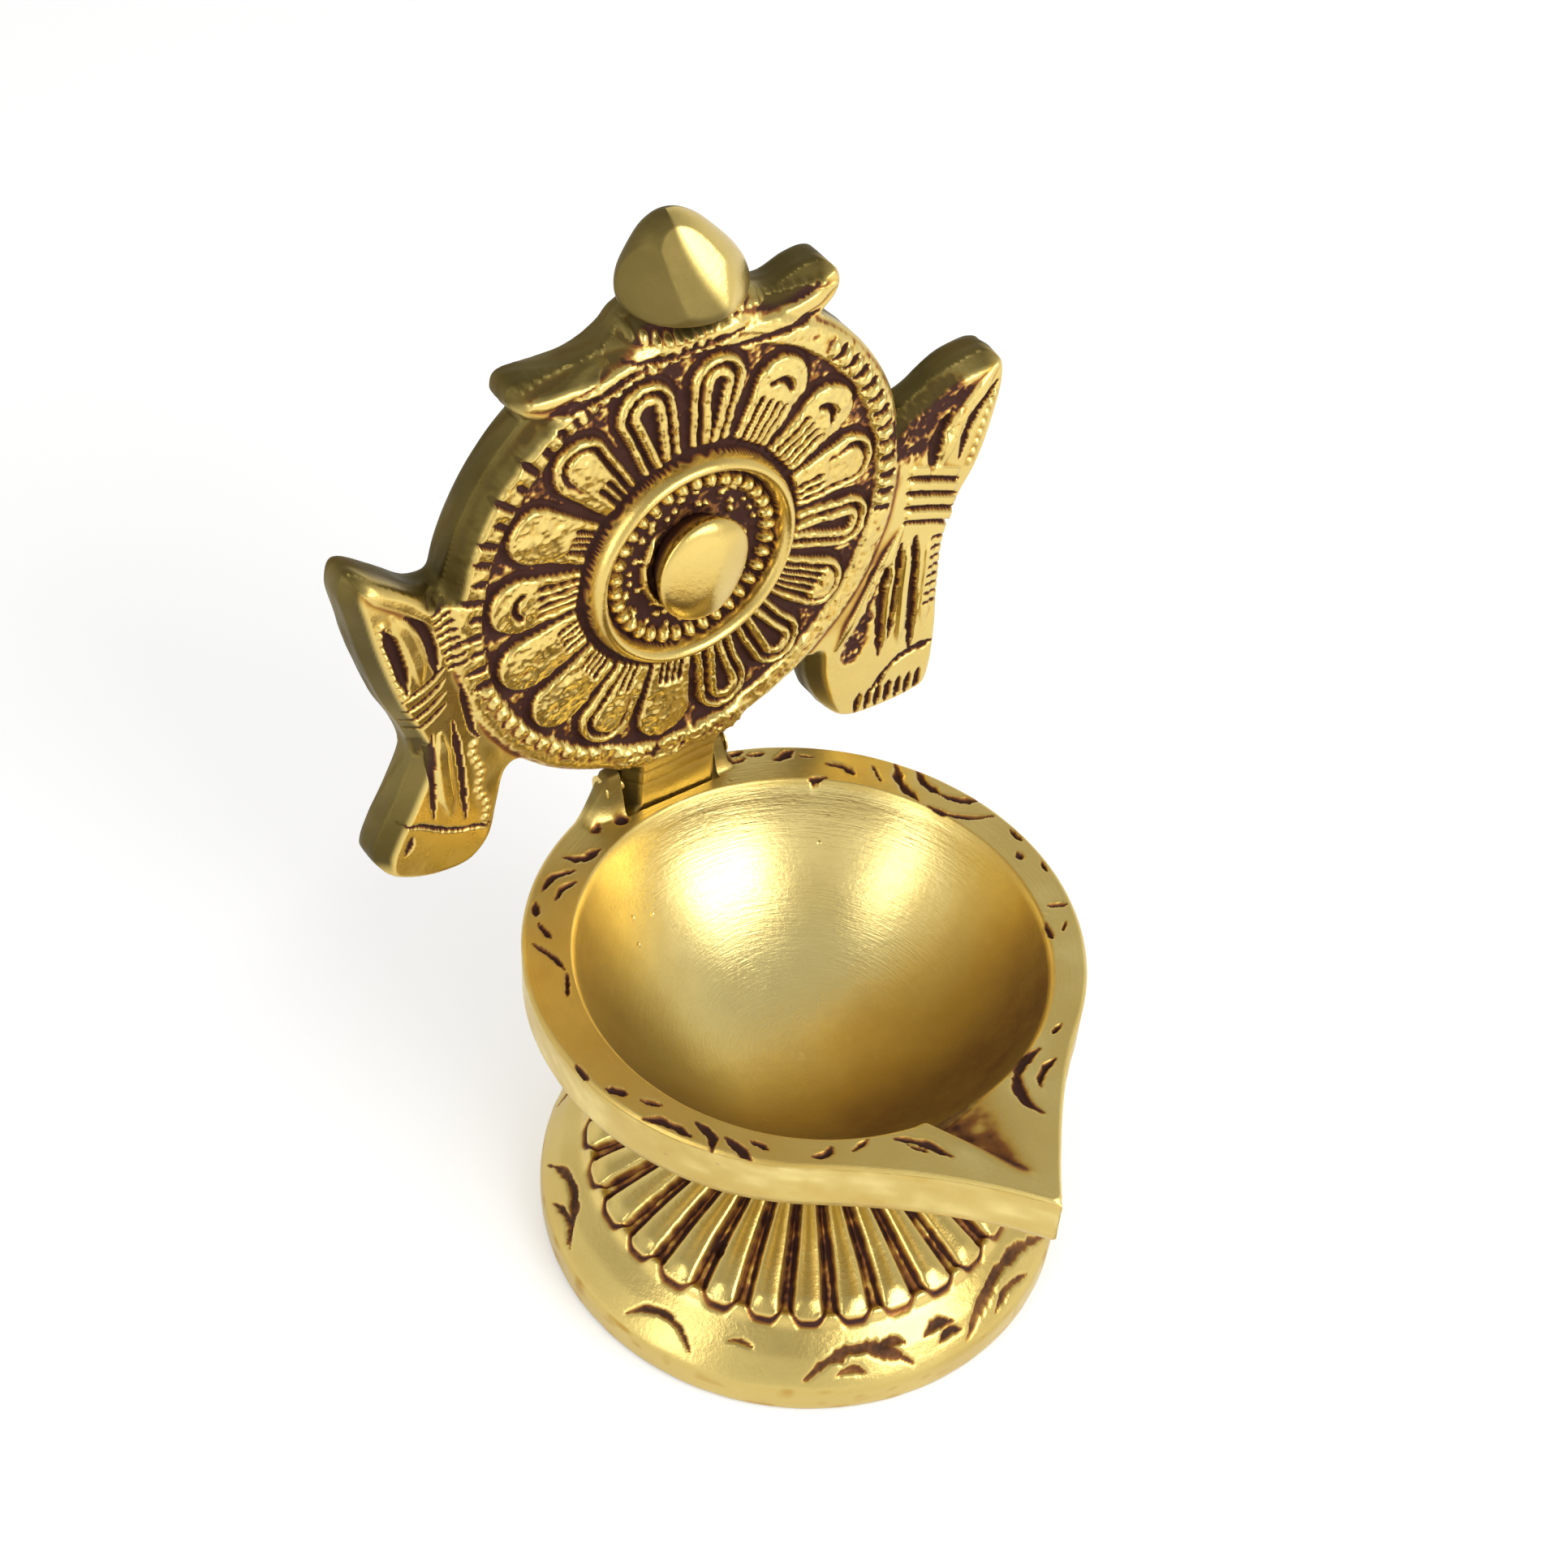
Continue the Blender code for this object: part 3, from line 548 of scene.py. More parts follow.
def petal_form(s, t, style, seed):
    """Height, cleanness, cuts and dark outline of one petal, at s along its middle line and t across it."""
    tip = 15.9
    end = 2.62
    half = 1.95 + (end - 1.95) * (s - 10.6) / (tip - 10.6)
    inside = np.where(s < tip, half - np.abs(t), end - np.hypot(s - tip, t))
    body = smoothstep(0.0, 0.3, inside) * smoothstep(10.2, 10.7, s)

    def band(low, high):
        return smoothstep(low, low + 0.22, inside) * smoothstep(high, high - 0.22, inside)

    def lines(places, reach):
        marks = sum(bell(t - place * (0.7 + 0.3 * (s - 10) / 6), 0.2) for place in places)
        return np.clip(marks, 0, 1) * smoothstep(reach, reach - 0.7, s)

    grooves = np.zeros(s.shape)
    if style in ("arch", "slot_arch"):
        grooves += band(0.62, 1.30)
    if style == "arch":
        grooves += smoothstep(1.80, 1.98, inside) * smoothstep(16.9, 16.3, s)
    if style == "slot_arch":
        grooves *= smoothstep(-1.6, 0.2, t + 0.4 * (s - 14.0))
        grooves += lines((-0.5, 0.45), 13.4)
    if style == "slot":
        crescent = bell(np.hypot(s - 15.2, t) - 1.15, 0.24)
        grooves += crescent * smoothstep(15.4, 15.9, s)
        grooves += lines((-1.45, -0.5, 0.45, 1.4), 14.7)
    if style == "lines":
        grooves += lines((-1.5, -0.75, 0.0, 0.75, 1.5), 15.9) + band(0.7, 1.1) * smoothstep(14.5, 15.5, s)
    if style == "cushion":
        grooves += lines((-1.2, -0.4, 0.4, 1.2), 12.9)
    grooves = np.clip(grooves, 0.0, 1.0)
    crown = 0.70 + 0.18 * smoothstep(0.0, 1.8, inside) + 0.035 * noise(s, t, 1.4, seed)
    outline = bell(inside + 0.2, 0.26) * smoothstep(13.0, 15.5, s)
    return body * (crown - 0.84 * grooves), body * (1.0 - grooves), body * grooves, outline


def carve_petals(relief):
    """Lay the sixteen carved petals round the big ring."""
    for index, style in enumerate(PETAL_STYLES):
        angle = petal_angle(index)
        out = np.array([math.sin(angle), math.cos(angle)])
        middle = np.array([0.0, DISC_V]) + 14.3 * out
        part = relief.window(middle[None], 5.4)
        x, y = relief.x[part], relief.y[part] - DISC_V
        wobble = 0.12 * noise(x, y, 2.5, 40 + index)
        s = x * out[0] + y * out[1] + wobble
        t = x * out[1] - y * out[0] + wobble
        height, clean, cut, outline = petal_form(s, t, style, 60 + index)
        relief.height[part] += height - 0.25 * outline
        relief.patina_and_shade[part] = relief.patina_and_shade[part] * (1 - clean) * (1 - cut) + 0.75 * cut + 0.35 * outline


def disc_point(angle, radius):
    """A point of the disc at an angle in degrees clockwise from straight up."""
    turn = math.radians(angle)
    return radius * math.sin(turn), DISC_V + radius * math.cos(turn)


def carve_hem(relief):
    """Ticks and beads round the hem, the ring of beads inside the big ring, and grains round the boss."""
    for index in range(15):
        angle = 254.0 + 4.9 * index
        ends = disc_point(angle, 18.7), disc_point(angle + 0.6, 20.6 + 0.5 * math.sin(2.7 * index))
        relief.line(ends, 0.32, -0.5, 0.9, taper=0.2, rough=0.2, seed=index)
    for index in range(11):
        angle = 206.0 + 4.6 * index
        relief.bead(disc_point(angle, 19.6), 0.62, 0.42)
    for index in range(14):
        angle = 322.0 + 3.2 * index
        relief.bead(disc_point(angle, 19.5 + 0.3 * math.sin(2.2 * index)), 0.36, 0.22)
        ends = disc_point(angle + 1.6, 18.9), disc_point(angle + 1.9, 19.8)
        relief.line(ends, 0.22, -0.22, 0.5, taper=0.0)
    relief.line([disc_point(angle, 20.7) for angle in range(-52, -8, 6)], 0.36, 0.30)
    for index in range(12):
        angle = 40.0 + 5.0 * index
        relief.bead(disc_point(angle, 20.0), 0.5, 0.5, squash=1.7, angle=math.radians(90.0 - angle + 18.0))
        ends = disc_point(angle + 2.5, 19.2), disc_point(angle + 2.9, 20.9)
        relief.line(ends, 0.28, -0.3, 0.8, taper=0.1)
    for index in range(34):
        angle = 360.0 / 34 * index
        relief.bead(disc_point(angle, 7.35), 0.58, 1.15, squash=1.4, angle=math.radians(90.0 - angle))
    grains = np.random.default_rng(5)
    for index in range(46):
        place = disc_point(360.0 / 46 * index + grains.uniform(-4, 4), grains.uniform(4.9, 6.5))
        relief.bead(place, grains.uniform(0.25, 0.45), 0.45)


def carve_left_ribbon(relief):
    """Beaded edge, two almond slots, four bands, and a tail with grooves and beads over a dotted hem line."""
    for index in range(11):
        way = index / 10
        relief.bead((-27.3 + 1.6 * way**1.4, 31.0 - 7.6 * way), 0.36, 0.30, squash=1.2, angle=0.4)
    relief.line([(-28.9, 35.2), (-26.6, 33.6), (-23.8, 31.2), (-22.3, 28.6)], 0.85, 0.30)
    relief.line([(-27.2, 30.6), (-26.5, 28.6), (-25.9, 26.2), (-25.5, 23.8)], 0.50, -0.85, 0.75)
    relief.line([(-26.4, 31.6), (-25.2, 29.0), (-24.5, 26.4), (-24.2, 24.0)], 0.55, 0.22)
    relief.line([(-25.2, 31.0), (-24.0, 29.6), (-23.2, 27.4), (-22.9, 24.4)], 0.42, -0.8, 0.85)
    for index in range(9):
        way = index / 8
        place = np.array((-23.3 + 1.6 * way, 31.2 - 6.6 * way))
        relief.line([place, place + (1.3, 0.45)], 0.16, -0.26, 0.6, taper=0.0)
    for index in range(4):
        low = 18.9 + 1.25 * index
        band = [(-25.6 - 0.1 * index, low + 0.2), (-23.9, low + 1.0), (-22.2, low + 2.3)]
        relief.line(band, 0.17, -0.42, 0.72)
    relief.line([(-22.8, 18.2), (-22.7, 14.0), (-22.2, 9.2)], 0.62, 0.30)
    relief.line([(-24.4, 17.9), (-24.6, 16.6), (-24.9, 15.4)], 0.62, -0.5, 0.62, rough=0.5, seed=3)
    relief.line([(-23.6, 18.4), (-23.7, 13.4), (-23.7, 9.4)], 0.24, -0.42, 0.55, rough=0.5, seed=3)
    relief.line([(-21.7, 19.0), (-21.1, 14.0), (-20.8, 8.0)], 0.26, -0.42, 0.62, rough=0.5, seed=4)
    relief.line([(-20.9, 22.6), (-20.0, 17.6), (-19.4, 16.4)], 0.26, -0.45, 0.7)
    for index in range(12):
        way = index / 11
        relief.bead((-19.9 + 1.0 * way + 0.25 * math.sin(5 * index), 15.8 - 9.4 * way), 0.38, 0.26)
    hem = [(-26.6, 9.7), (-24.6, 8.9), (-22.4, 7.4), (-20.4, 6.7), (-18.2, 6.3)]
    relief.line(hem, 0.20, -0.5, 0.9, rough=0.8, seed=5)
    relief.line([(-25.8, 8.2), (-26.0, 7.3), (-26.4, 6.6)], 0.25, -0.4, 0.6)


def carve_right_ribbon(relief):
    """Gritty corner, a leaf between two slots, four bands, a pleated tail and a ticked hem."""
    corner = smoothstep(4.8, 2.6, np.hypot((relief.x - 24.3) / 1.3, relief.y - 31.6))
    grit = rough_cast(relief.x, relief.y, 21)
    relief.height += corner * (-0.35 + 0.35 * grit)
    relief.darken(corner * (0.75 - 0.5 * grit))
    relief.line([(26.4, 26.2), (27.4, 29.4), (29.2, 32.4), (31.2, 34.8)], 0.66, 0.42)
    relief.line([(25.4, 25.9), (25.8, 28.6), (27.0, 31.6)], 0.55, -0.7, 0.95, rough=0.4, seed=6)
    relief.line([(28.4, 26.4), (28.9, 29.0), (30.2, 31.4), (31.5, 33.2)], 0.36, -0.6, 0.85, rough=0.4, seed=7)
    for index in range(8):
        way = index / 7
        relief.bead((29.6 + 1.7 * way, 25.6 + 6.4 * way), 0.38, 0.28)
    for index in range(4):
        low = 19.7 + 1.55 * index
        ends = [(22.9, low + 1.7), (25.4, low + 0.9), (28.6, low - 0.3)]
        relief.line(ends, 0.24, -0.55, 0.85, taper=0.08, rough=0.5, seed=30 + index)
        relief.line([(across, up + 0.78) for across, up in ends], 0.45, 0.22, taper=0.08)
    from_patch, _ = segment_distances(relief.x, relief.y, np.array([(21.0, 16.4), (18.8, 8.4)]))
    patch = smoothstep(1.7, 0.6, from_patch)
    relief.height += patch * (-0.25 + 0.3 * grit)
    relief.darken(patch * (0.62 - 0.5 * grit))
    relief.line([(22.9, 21.0), (20.4, 16.2), (18.6, 12.6), (16.9, 9.6)], 0.55, 0.55)
    pleats = [
        ([(24.6, 19.2), (24.9, 14.6), (25.3, 10.4), (25.5, 6.2)], 0.44, -0.8, 1.0, 0.15, 0.5, 8),
        ([(23.0, 19.0), (22.9, 14.4), (22.7, 8.4)], 0.34, -0.6, 0.9, 0.15, 0.5, 9),
        ([(21.8, 17.2), (21.5, 12.8), (21.9, 6.8)], 0.34, -0.55, 0.85, 0.15, 0.6, 10),
        ([(23.8, 19.0), (23.9, 14.0), (24.1, 7.4)], 0.42, 0.34, 0.0, 0.15),
        ([(22.3, 17.6), (22.2, 13.4), (22.4, 7.6)], 0.30, 0.26, 0.0, 0.15),
        ([(26.3, 18.6), (26.5, 14.0), (26.8, 8.4)], 0.5, 0.2, 0.0, 0.15),
    ]
    for pleat in pleats:
        relief.line(*pleat)
    for index in range(8):
        relief.line([(26.5, 18.4 - 1.05 * index), (28.2, 18.2 - 1.05 * index)], 0.15, -0.26, 0.62, taper=0.0)
    hem = [(28.2, 5.9), (26.2, 5.8), (24.6, 5.5), (23.3, 4.6), (22.4, 3.4), (21.2, 2.2)]
    relief.line(hem, 0.32, -0.5, 0.95, taper=0.1, rough=0.8, seed=12)
    for index in range(7):
        across = 20.0 + 1.16 * index
        relief.line([(across, 0.6), (across + 0.2, 2.9)], 0.30, -0.45, 0.8, taper=0.2, rough=0.5, seed=index)


def carve_crest(relief):
    """The two scrolls with their beaded upper edges, and the beaded collar under the bud."""
    relief.line([(-14.9, 45.9), (-11.5, 46.1), (-7.6, 47.4)], 0.55, 0.36)
    relief.line([(-12.6, 44.8), (-8.4, 45.2), (-4.6, 46.4)], 0.42, -0.5, 0.72, rough=0.4, seed=13)
    for index in range(9):
        relief.bead((-14.6 + 0.86 * index, 47.0 + 0.13 * index), 0.34, 0.24)
    relief.line([(4.0, 46.9), (8.6, 46.9), (12.9, 48.2)], 0.62, 0.4)
    relief.line([(2.6, 45.6), (7.4, 45.6), (11.4, 46.2)], 0.36, -0.5, 0.7, rough=0.4, seed=14)
    relief.line([(5.4, 48.1), (8.6, 48.0), (11.2, 48.6)], 0.30, -0.35, 0.55)
    for index in range(10):
        relief.bead((3.8 + 0.86 * index, 48.6 + 0.1 * math.sin(index)), 0.32, 0.24)
    recess = smoothstep(2.6, 1.6, np.hypot((relief.x + 1.4) / 3.1, relief.y - 50.2))
    relief.height -= 0.6 * recess
    relief.darken(0.85 * recess)
    for index in range(12):
        across = -6.4 + 0.92 * index
        relief.bead((across, 48.1 + 0.045 * (across + 1.0) ** 2), 0.46, 0.5, squash=1.25, angle=math.pi / 2)
    relief.line([(-6.6, 47.4), (-3.0, 46.6), (1.0, 46.6), (4.0, 47.2)], 0.30, -0.45, 0.8, rough=0.4, seed=15)


def carve_tang(relief):
    """Rough cast bumps where the tang leaves the disc, and a clean filed face with two steps below them."""
    side = np.abs(relief.x)
    grit = rough_cast(relief.x, relief.y, 31)
    near = smoothstep(7.5, 5.5, side) * smoothstep(5.6, 6.4, relief.y) * smoothstep(9.2, 8.2, relief.y)
    relief.height += near * (0.45 + 0.4 * grit)
    filed = smoothstep(8.0, 6.6, side) * smoothstep(6.5, 5.9, relief.y)
    relief.patina_and_shade *= 1.0 - filed
    steps = 0.10 * smoothstep(4.4, 4.2, relief.y) + 0.08 * smoothstep(3.0, 2.8, relief.y)
    relief.height = relief.height * (1.0 - filed) + filed * (0.38 - steps)
    relief.darken(near * np.clip(0.1 - 0.8 * grit, 0, 0.6))


def plate_relief():
    """The plate's front as a height map over its face, and the distance to its outline."""
    relief = Relief((-33.0, -3.0), (35.0, 53.0), 0.145)
    distance = plate_distance(relief)
    disc_ground(relief)
    beyond = smoothstep(21.2, 21.9, np.hypot(relief.x, relief.y - DISC_V))
    relief.height = relief.height * (1 - beyond) + beyond * (0.45 + 0.04 * noise(relief.x, relief.y, 2.0, 3))
    relief.patina_and_shade *= 1 - beyond
    carve_petals(relief)
    carve_hem(relief)
    carve_left_ribbon(relief)
    carve_right_ribbon(relief)
    carve_crest(relief)
    carve_tang(relief)
    grit = rough_cast(relief.x, relief.y, 77)
    relief.height += 0.06 * grit * np.clip(0.15 + relief.patina_and_shade, 0, 1)
    relief.height += 0.04 * noise(relief.x, relief.y, 3.2, 78)
    relief.settle(0.3, 0.9, 0.9)
    depth = np.clip(-distance, 0.0, None)
    up, across = np.gradient(blurred(distance, 0.5, relief.step), relief.step)
    draft = smoothstep(-0.1, 0.6, 0.66 * up - 0.75 * across)
    slope = np.clip(1.0 - depth / (0.5 + 0.7 * draft), 0.0, 1.0)
    rounded = 0.5 * (1.0 - np.sqrt(1.0 - slope**2))
    relief.height -= rounded * (1 - draft) + 1.5 * slope * draft
    relief.raw_and_shade = draft * smoothstep(0.0, 0.3, slope)
    relief.patina_and_shade *= smoothstep(0.0, 0.5, depth)
    return relief, distance


def clip_grid(relief, distance):
    """The grid's cells inside the outline: points, faces, and which points make the outline, in order."""
    inside = distance < 0
    number = -np.ones(inside.shape, int)
    number[inside] = np.arange(inside.sum())
    points = np.column_stack([relief.x[inside], relief.y[inside]]).tolist()
    full = inside[:-1, :-1] & inside[1:, :-1] & inside[:-1, 1:] & inside[1:, 1:]
    rows, columns = np.nonzero(full)
    corners = [number[rows + up, columns + right] for up, right in ((0, 0), (0, 1), (1, 1), (1, 0))]
    faces = np.column_stack(corners).tolist()
    crossings = {}

    def crossing(a, b):
        key = (min(a, b), max(a, b))
        if key not in crossings:
            first, second = distance[key[0]], distance[key[1]]
            way = first / (first - second)
            start = np.array((relief.x[key[0]], relief.y[key[0]]))
            end = np.array((relief.x[key[1]], relief.y[key[1]]))
            crossings[key] = len(points)
            points.append((start + way * (end - start)).tolist())
        return crossings[key]

    following = {}
    some = inside[:-1, :-1] | inside[1:, :-1] | inside[:-1, 1:] | inside[1:, 1:]
    for row, column in zip(*np.nonzero(some & ~full)):
        cell = [(row, column), (row, column + 1), (row + 1, column + 1), (row + 1, column)]
        face = []
        leaving = None
        for here, there in zip(cell, cell[1:] + cell[:1]):
            if inside[here]:
                face.append(number[here])
            if inside[here] != inside[there]:
                point = crossing(here, there)
                face.append(point)
                if inside[here]:
                    leaving = point
                else:
                    entering = point
        faces.append([int(index) for index in face])
        following[leaving] = entering
    start = next(iter(following))
    outline = [start]
    while following[outline[-1]] != start:
        outline.append(following[outline[-1]])
    return np.array(points), faces, outline


def plate_sides(outline_points, front, seed):
    """Rows of points from the front's edge to the back's edge, with the sides' rounding and cast lumps."""
    ahead = np.roll(outline_points, -1, axis=0) - np.roll(outline_points, 1, axis=0)
    ahead = blur_loop(ahead, 4)
    ahead /= np.linalg.norm(ahead, axis=1)[:, None]
    outward = np.column_stack([ahead[:, 1], -ahead[:, 0]])
    rows = []
    for way in (0.12, 0.25, 0.4, 0.55, 0.7, 0.82, 0.92, 1.0):
        swell = 0.14 * math.sin(math.pi * way) ** 0.7
        ease = -0.45 * max(0.0, (way - 0.82) / 0.18) ** 2
        lumps = 0.10 * noise(outline_points[:, 0] + 9 * way, outline_points[:, 1], 1.7, seed)
        lumps = lumps * math.sin(math.pi * way)
        place = outline_points + outward * (swell + ease + lumps)[:, None]
        rows.append(np.column_stack([place, front * (1 - way) - PLATE_THICKNESS * way]))
    return rows


def plate_to_lamp(local):
    """Points given as (across, up from the rim, out of the plate's face), in the lamp's own frame."""
    return np.column_stack([local[:, 0], PLATE_FACE_Y - local[:, 2], local[:, 1] + RIM_Z])


def plate_back(relief, distance, back_edge):
    """A net of triangles over the plate's back, with its inner points about 0.9 mm apart.

    Gives the net's points, the number of the edge point that each one is or None, and the triangles inside.
    """
    inner = [
        Vector((x, y)) for y in np.arange(-1.0, 53.0, 0.9) for x in np.arange(-32.0, 34.0, 0.9)
        if relief.at(distance, x, y) < -1.2
    ]
    count = len(back_edge)
    borders = [(index, (index + 1) % count) for index in range(count)]
    corners = [Vector(point) for point in back_edge.tolist()] + inner
    cloth, _, triangles, origins, _, _ = delaunay_2d_cdt(corners, borders, [], 1, 1e-6)
    sources = [next((source for source in group if source < count), None) for group in origins]
    kept = []
    for triangle in triangles:
        middle = sum((cloth[corner] for corner in triangle), Vector((0.0, 0.0))) / 3
        if relief.at(distance, middle.x, middle.y) < 0.15:
            kept.append(triangle)
    return np.array([tuple(point) for point in cloth]), sources, kept


def build_plate(surface):
    """The folding plate: carved front, cast sides and a plain back, in one closed mesh."""
    relief, distance = plate_relief()
    flat, faces, outline = clip_grid(relief, distance)
    height = relief.at(relief.height, flat[:, 0], flat[:, 1])
    patina_and_shade = relief.at(relief.patina_and_shade, flat[:, 0], flat[:, 1])
    points = [np.column_stack([flat, height])]
    patina_and_shade_values = [patina_and_shade]
    raw_and_shade_values = [relief.at(relief.raw_and_shade, flat[:, 0], flat[:, 1])]
    edge = flat[outline]
    rows = plate_sides(edge, height[outline], 91)
    count = len(outline)
    previous = list(outline)
    total = len(flat)
    for index, row in enumerate(rows):
        points.append(row)
        blotches = noise(row[:, 0] * 1.3, row[:, 1] * 1.3 + 2 * index, 2.6, 92)
        patina_and_shade_values.append(np.clip(0.12 + 0.25 * blotches, 0.0, 0.5) * min(1.0, index / 2))
        raw_and_shade_values.append(np.maximum(relief.at(relief.raw_and_shade, edge[:, 0], edge[:, 1]), min(1.0, 0.4 + index / 3)))
        current = list(range(total, total + count))
        for here in range(count):
            after = (here + 1) % count
            faces.append((previous[here], current[here], current[after], previous[after]))
        previous = current
        total += count
    back, sources, triangles = plate_back(relief, distance, rows[-1][:, :2])
    fresh = [index for index, source in enumerate(sources) if source is None]
    lookup = [None if source is None else previous[source] for source in sources]
    for place, index in enumerate(fresh):
        lookup[index] = total + place
    x, y = back[fresh].T
    lift = 0.10 * noise(x, y, 5.0, 93) + 0.05 * noise(x, y, 1.8, 94)
    deep = relief.at(np.clip(-distance, 0, 3), x, y)
    points.append(np.column_stack([x, y, -PLATE_THICKNESS + 0.05 + np.abs(lift) * smoothstep(0, 2, deep)]))
    patina_and_shade_values.append(0.10 + 0.06 * noise(x, y, 4.0, 95))
    raw_and_shade_values.append(np.full(len(fresh), 0.8))
    for triangle in triangles:
        a, b, c = (lookup[corner] for corner in triangle)
        if len({a, b, c}) == 3:
            faces.append((a, c, b))
    world = plate_to_lamp(np.vstack(points))
    attributes = {"patina_and_shade": np.concatenate(patina_and_shade_values), "raw_and_shade": np.concatenate(raw_and_shade_values)}
    made = make_object("chakra_plate_carved", world, faces, surface, attributes, "plate", "chakra_plate")
    return made


def build_boss(surface):
    """The boss in the middle of the disc: an oval button, its low polished dome filed in two soft flats."""
    steps = 96
    across, along, widest, dome = 4.3, 4.85, 3.0, 1.5
    profile = [(0.80, 0.5), (0.84, 1.4), (0.93, 2.2), (0.985, 2.65), (1.0, widest)]
    for index in range(1, 20):
        lean = math.pi / 2 * index / 20
        profile.append((math.cos(lean), widest + dome * math.sin(lean)))
    turn = np.linspace(0.0, 2 * math.pi, steps, endpoint=False)
    outline = np.column_stack([across * np.cos(turn), along * np.sin(turn) * (1 + 0.02 * np.sin(turn + 1.0))])
    rings = [np.column_stack([share * outline, np.full(steps, height)]) for share, height in profile]
    local = np.vstack(rings + [[(0.0, 0.0, 0.5)], [(0.0, 0.0, widest + dome)]])
    for facet, limit in (((-0.22, 0.12, 0.97), 4.22), ((0.36, -0.10, 0.93), 4.22)):
        over = local @ facet - limit
        over = (over + np.sqrt(over**2 + 0.02)) / 2
        local = local - 0.6 * over[:, None] * facet
    # The lower wall under the dome is darkened: patina where it meets the well round the boss, and painted
    # shade under the dome's overhang.
    patina_and_shade_values = 0.9 * smoothstep(2.6, 1.5, local[:, 2])
    local[:, 1] += DISC_V
    faces = ring_faces(len(profile), steps, (True, True))
    attributes = {"patina_and_shade": patina_and_shade_values, "raw_and_shade": np.zeros(len(local))}
    made = make_object("disc_boss", plate_to_lamp(local), faces, surface, attributes, "plate")
    return made


# The bud's half width at each height over the rim, from its top down.
BUD = [
    (0.0, 57.9), (0.8, 57.8), (1.6, 57.45), (2.6, 56.7), (3.8, 55.3), (4.9, 53.7), (5.4, 52.1), (5.2, 50.7),
    (4.1, 49.7), (2.3, 49.1), (0.0, 48.9),
]

# Flats of the bud: the direction each one faces (across, up, out), how far out it lies, and how sharp it is.
BUD_FACETS = [
    ((-0.76, 0.28, 0.58), 3.9, 0.9), ((-0.06, 0.42, 0.91), 3.5, 0.85), ((0.62, 0.10, 0.78), 4.2, 0.5),
]


def build_bud(surface):
    """The flame bud on top: a leaning bulb with three soft flats in front and a raw left side and back."""
    steps = 120
    middle, top, bottom, out = 52.5, BUD[0][1], BUD[-1][1], -1.1
    profile = smooth_curve(BUD, 7)[1:-1]
    points, raw_and_shade_values, patina_and_shade_values = [], [], []
    for half, up in profile:
        for step in range(steps):
            turn = 2 * math.pi * step / steps
            depth = 0.86 if math.sin(turn) > 0 else 0.52
            place = np.array([half * math.cos(turn), up - middle, depth * half * math.sin(turn)])
            for facet, limit, share in BUD_FACETS:
                facet = np.array(facet) / np.linalg.norm(facet)
                place = place - share * max(0.0, place @ facet - limit) * facet
            points.append((0.25 * (49.0 - up) + place[0], middle + place[1], place[2] + out))
            leftward = -0.86 * math.cos(turn) + 0.3 * math.sin(turn)
            side = smoothstep(0.05, 0.30, leftward - 0.05 * (up - middle))
            back = smoothstep(0.1, -0.3, math.sin(turn))
            raw_and_shade_values.append(max(side, back))
            patina_and_shade_values.append(0.75 * smoothstep(50.2, 49.4, up) + 0.10 * side)
    points += [(0.25 * (49.0 - top), top, out), (0.0, bottom, out)]
    raw_and_shade_values += [0.5, 0.5]
    patina_and_shade_values += [0.0, 0.6]
    world = plate_to_lamp(np.array(points))
    faces = ring_faces(len(profile), steps, (True, True))
    made = make_object("crest_bud", world, faces, surface, {"patina_and_shade": patina_and_shade_values, "raw_and_shade": raw_and_shade_values}, "plate")
    return made


# Bowl. Its engraving is laid out in plan, with the middle of the hollow at (0, 0).

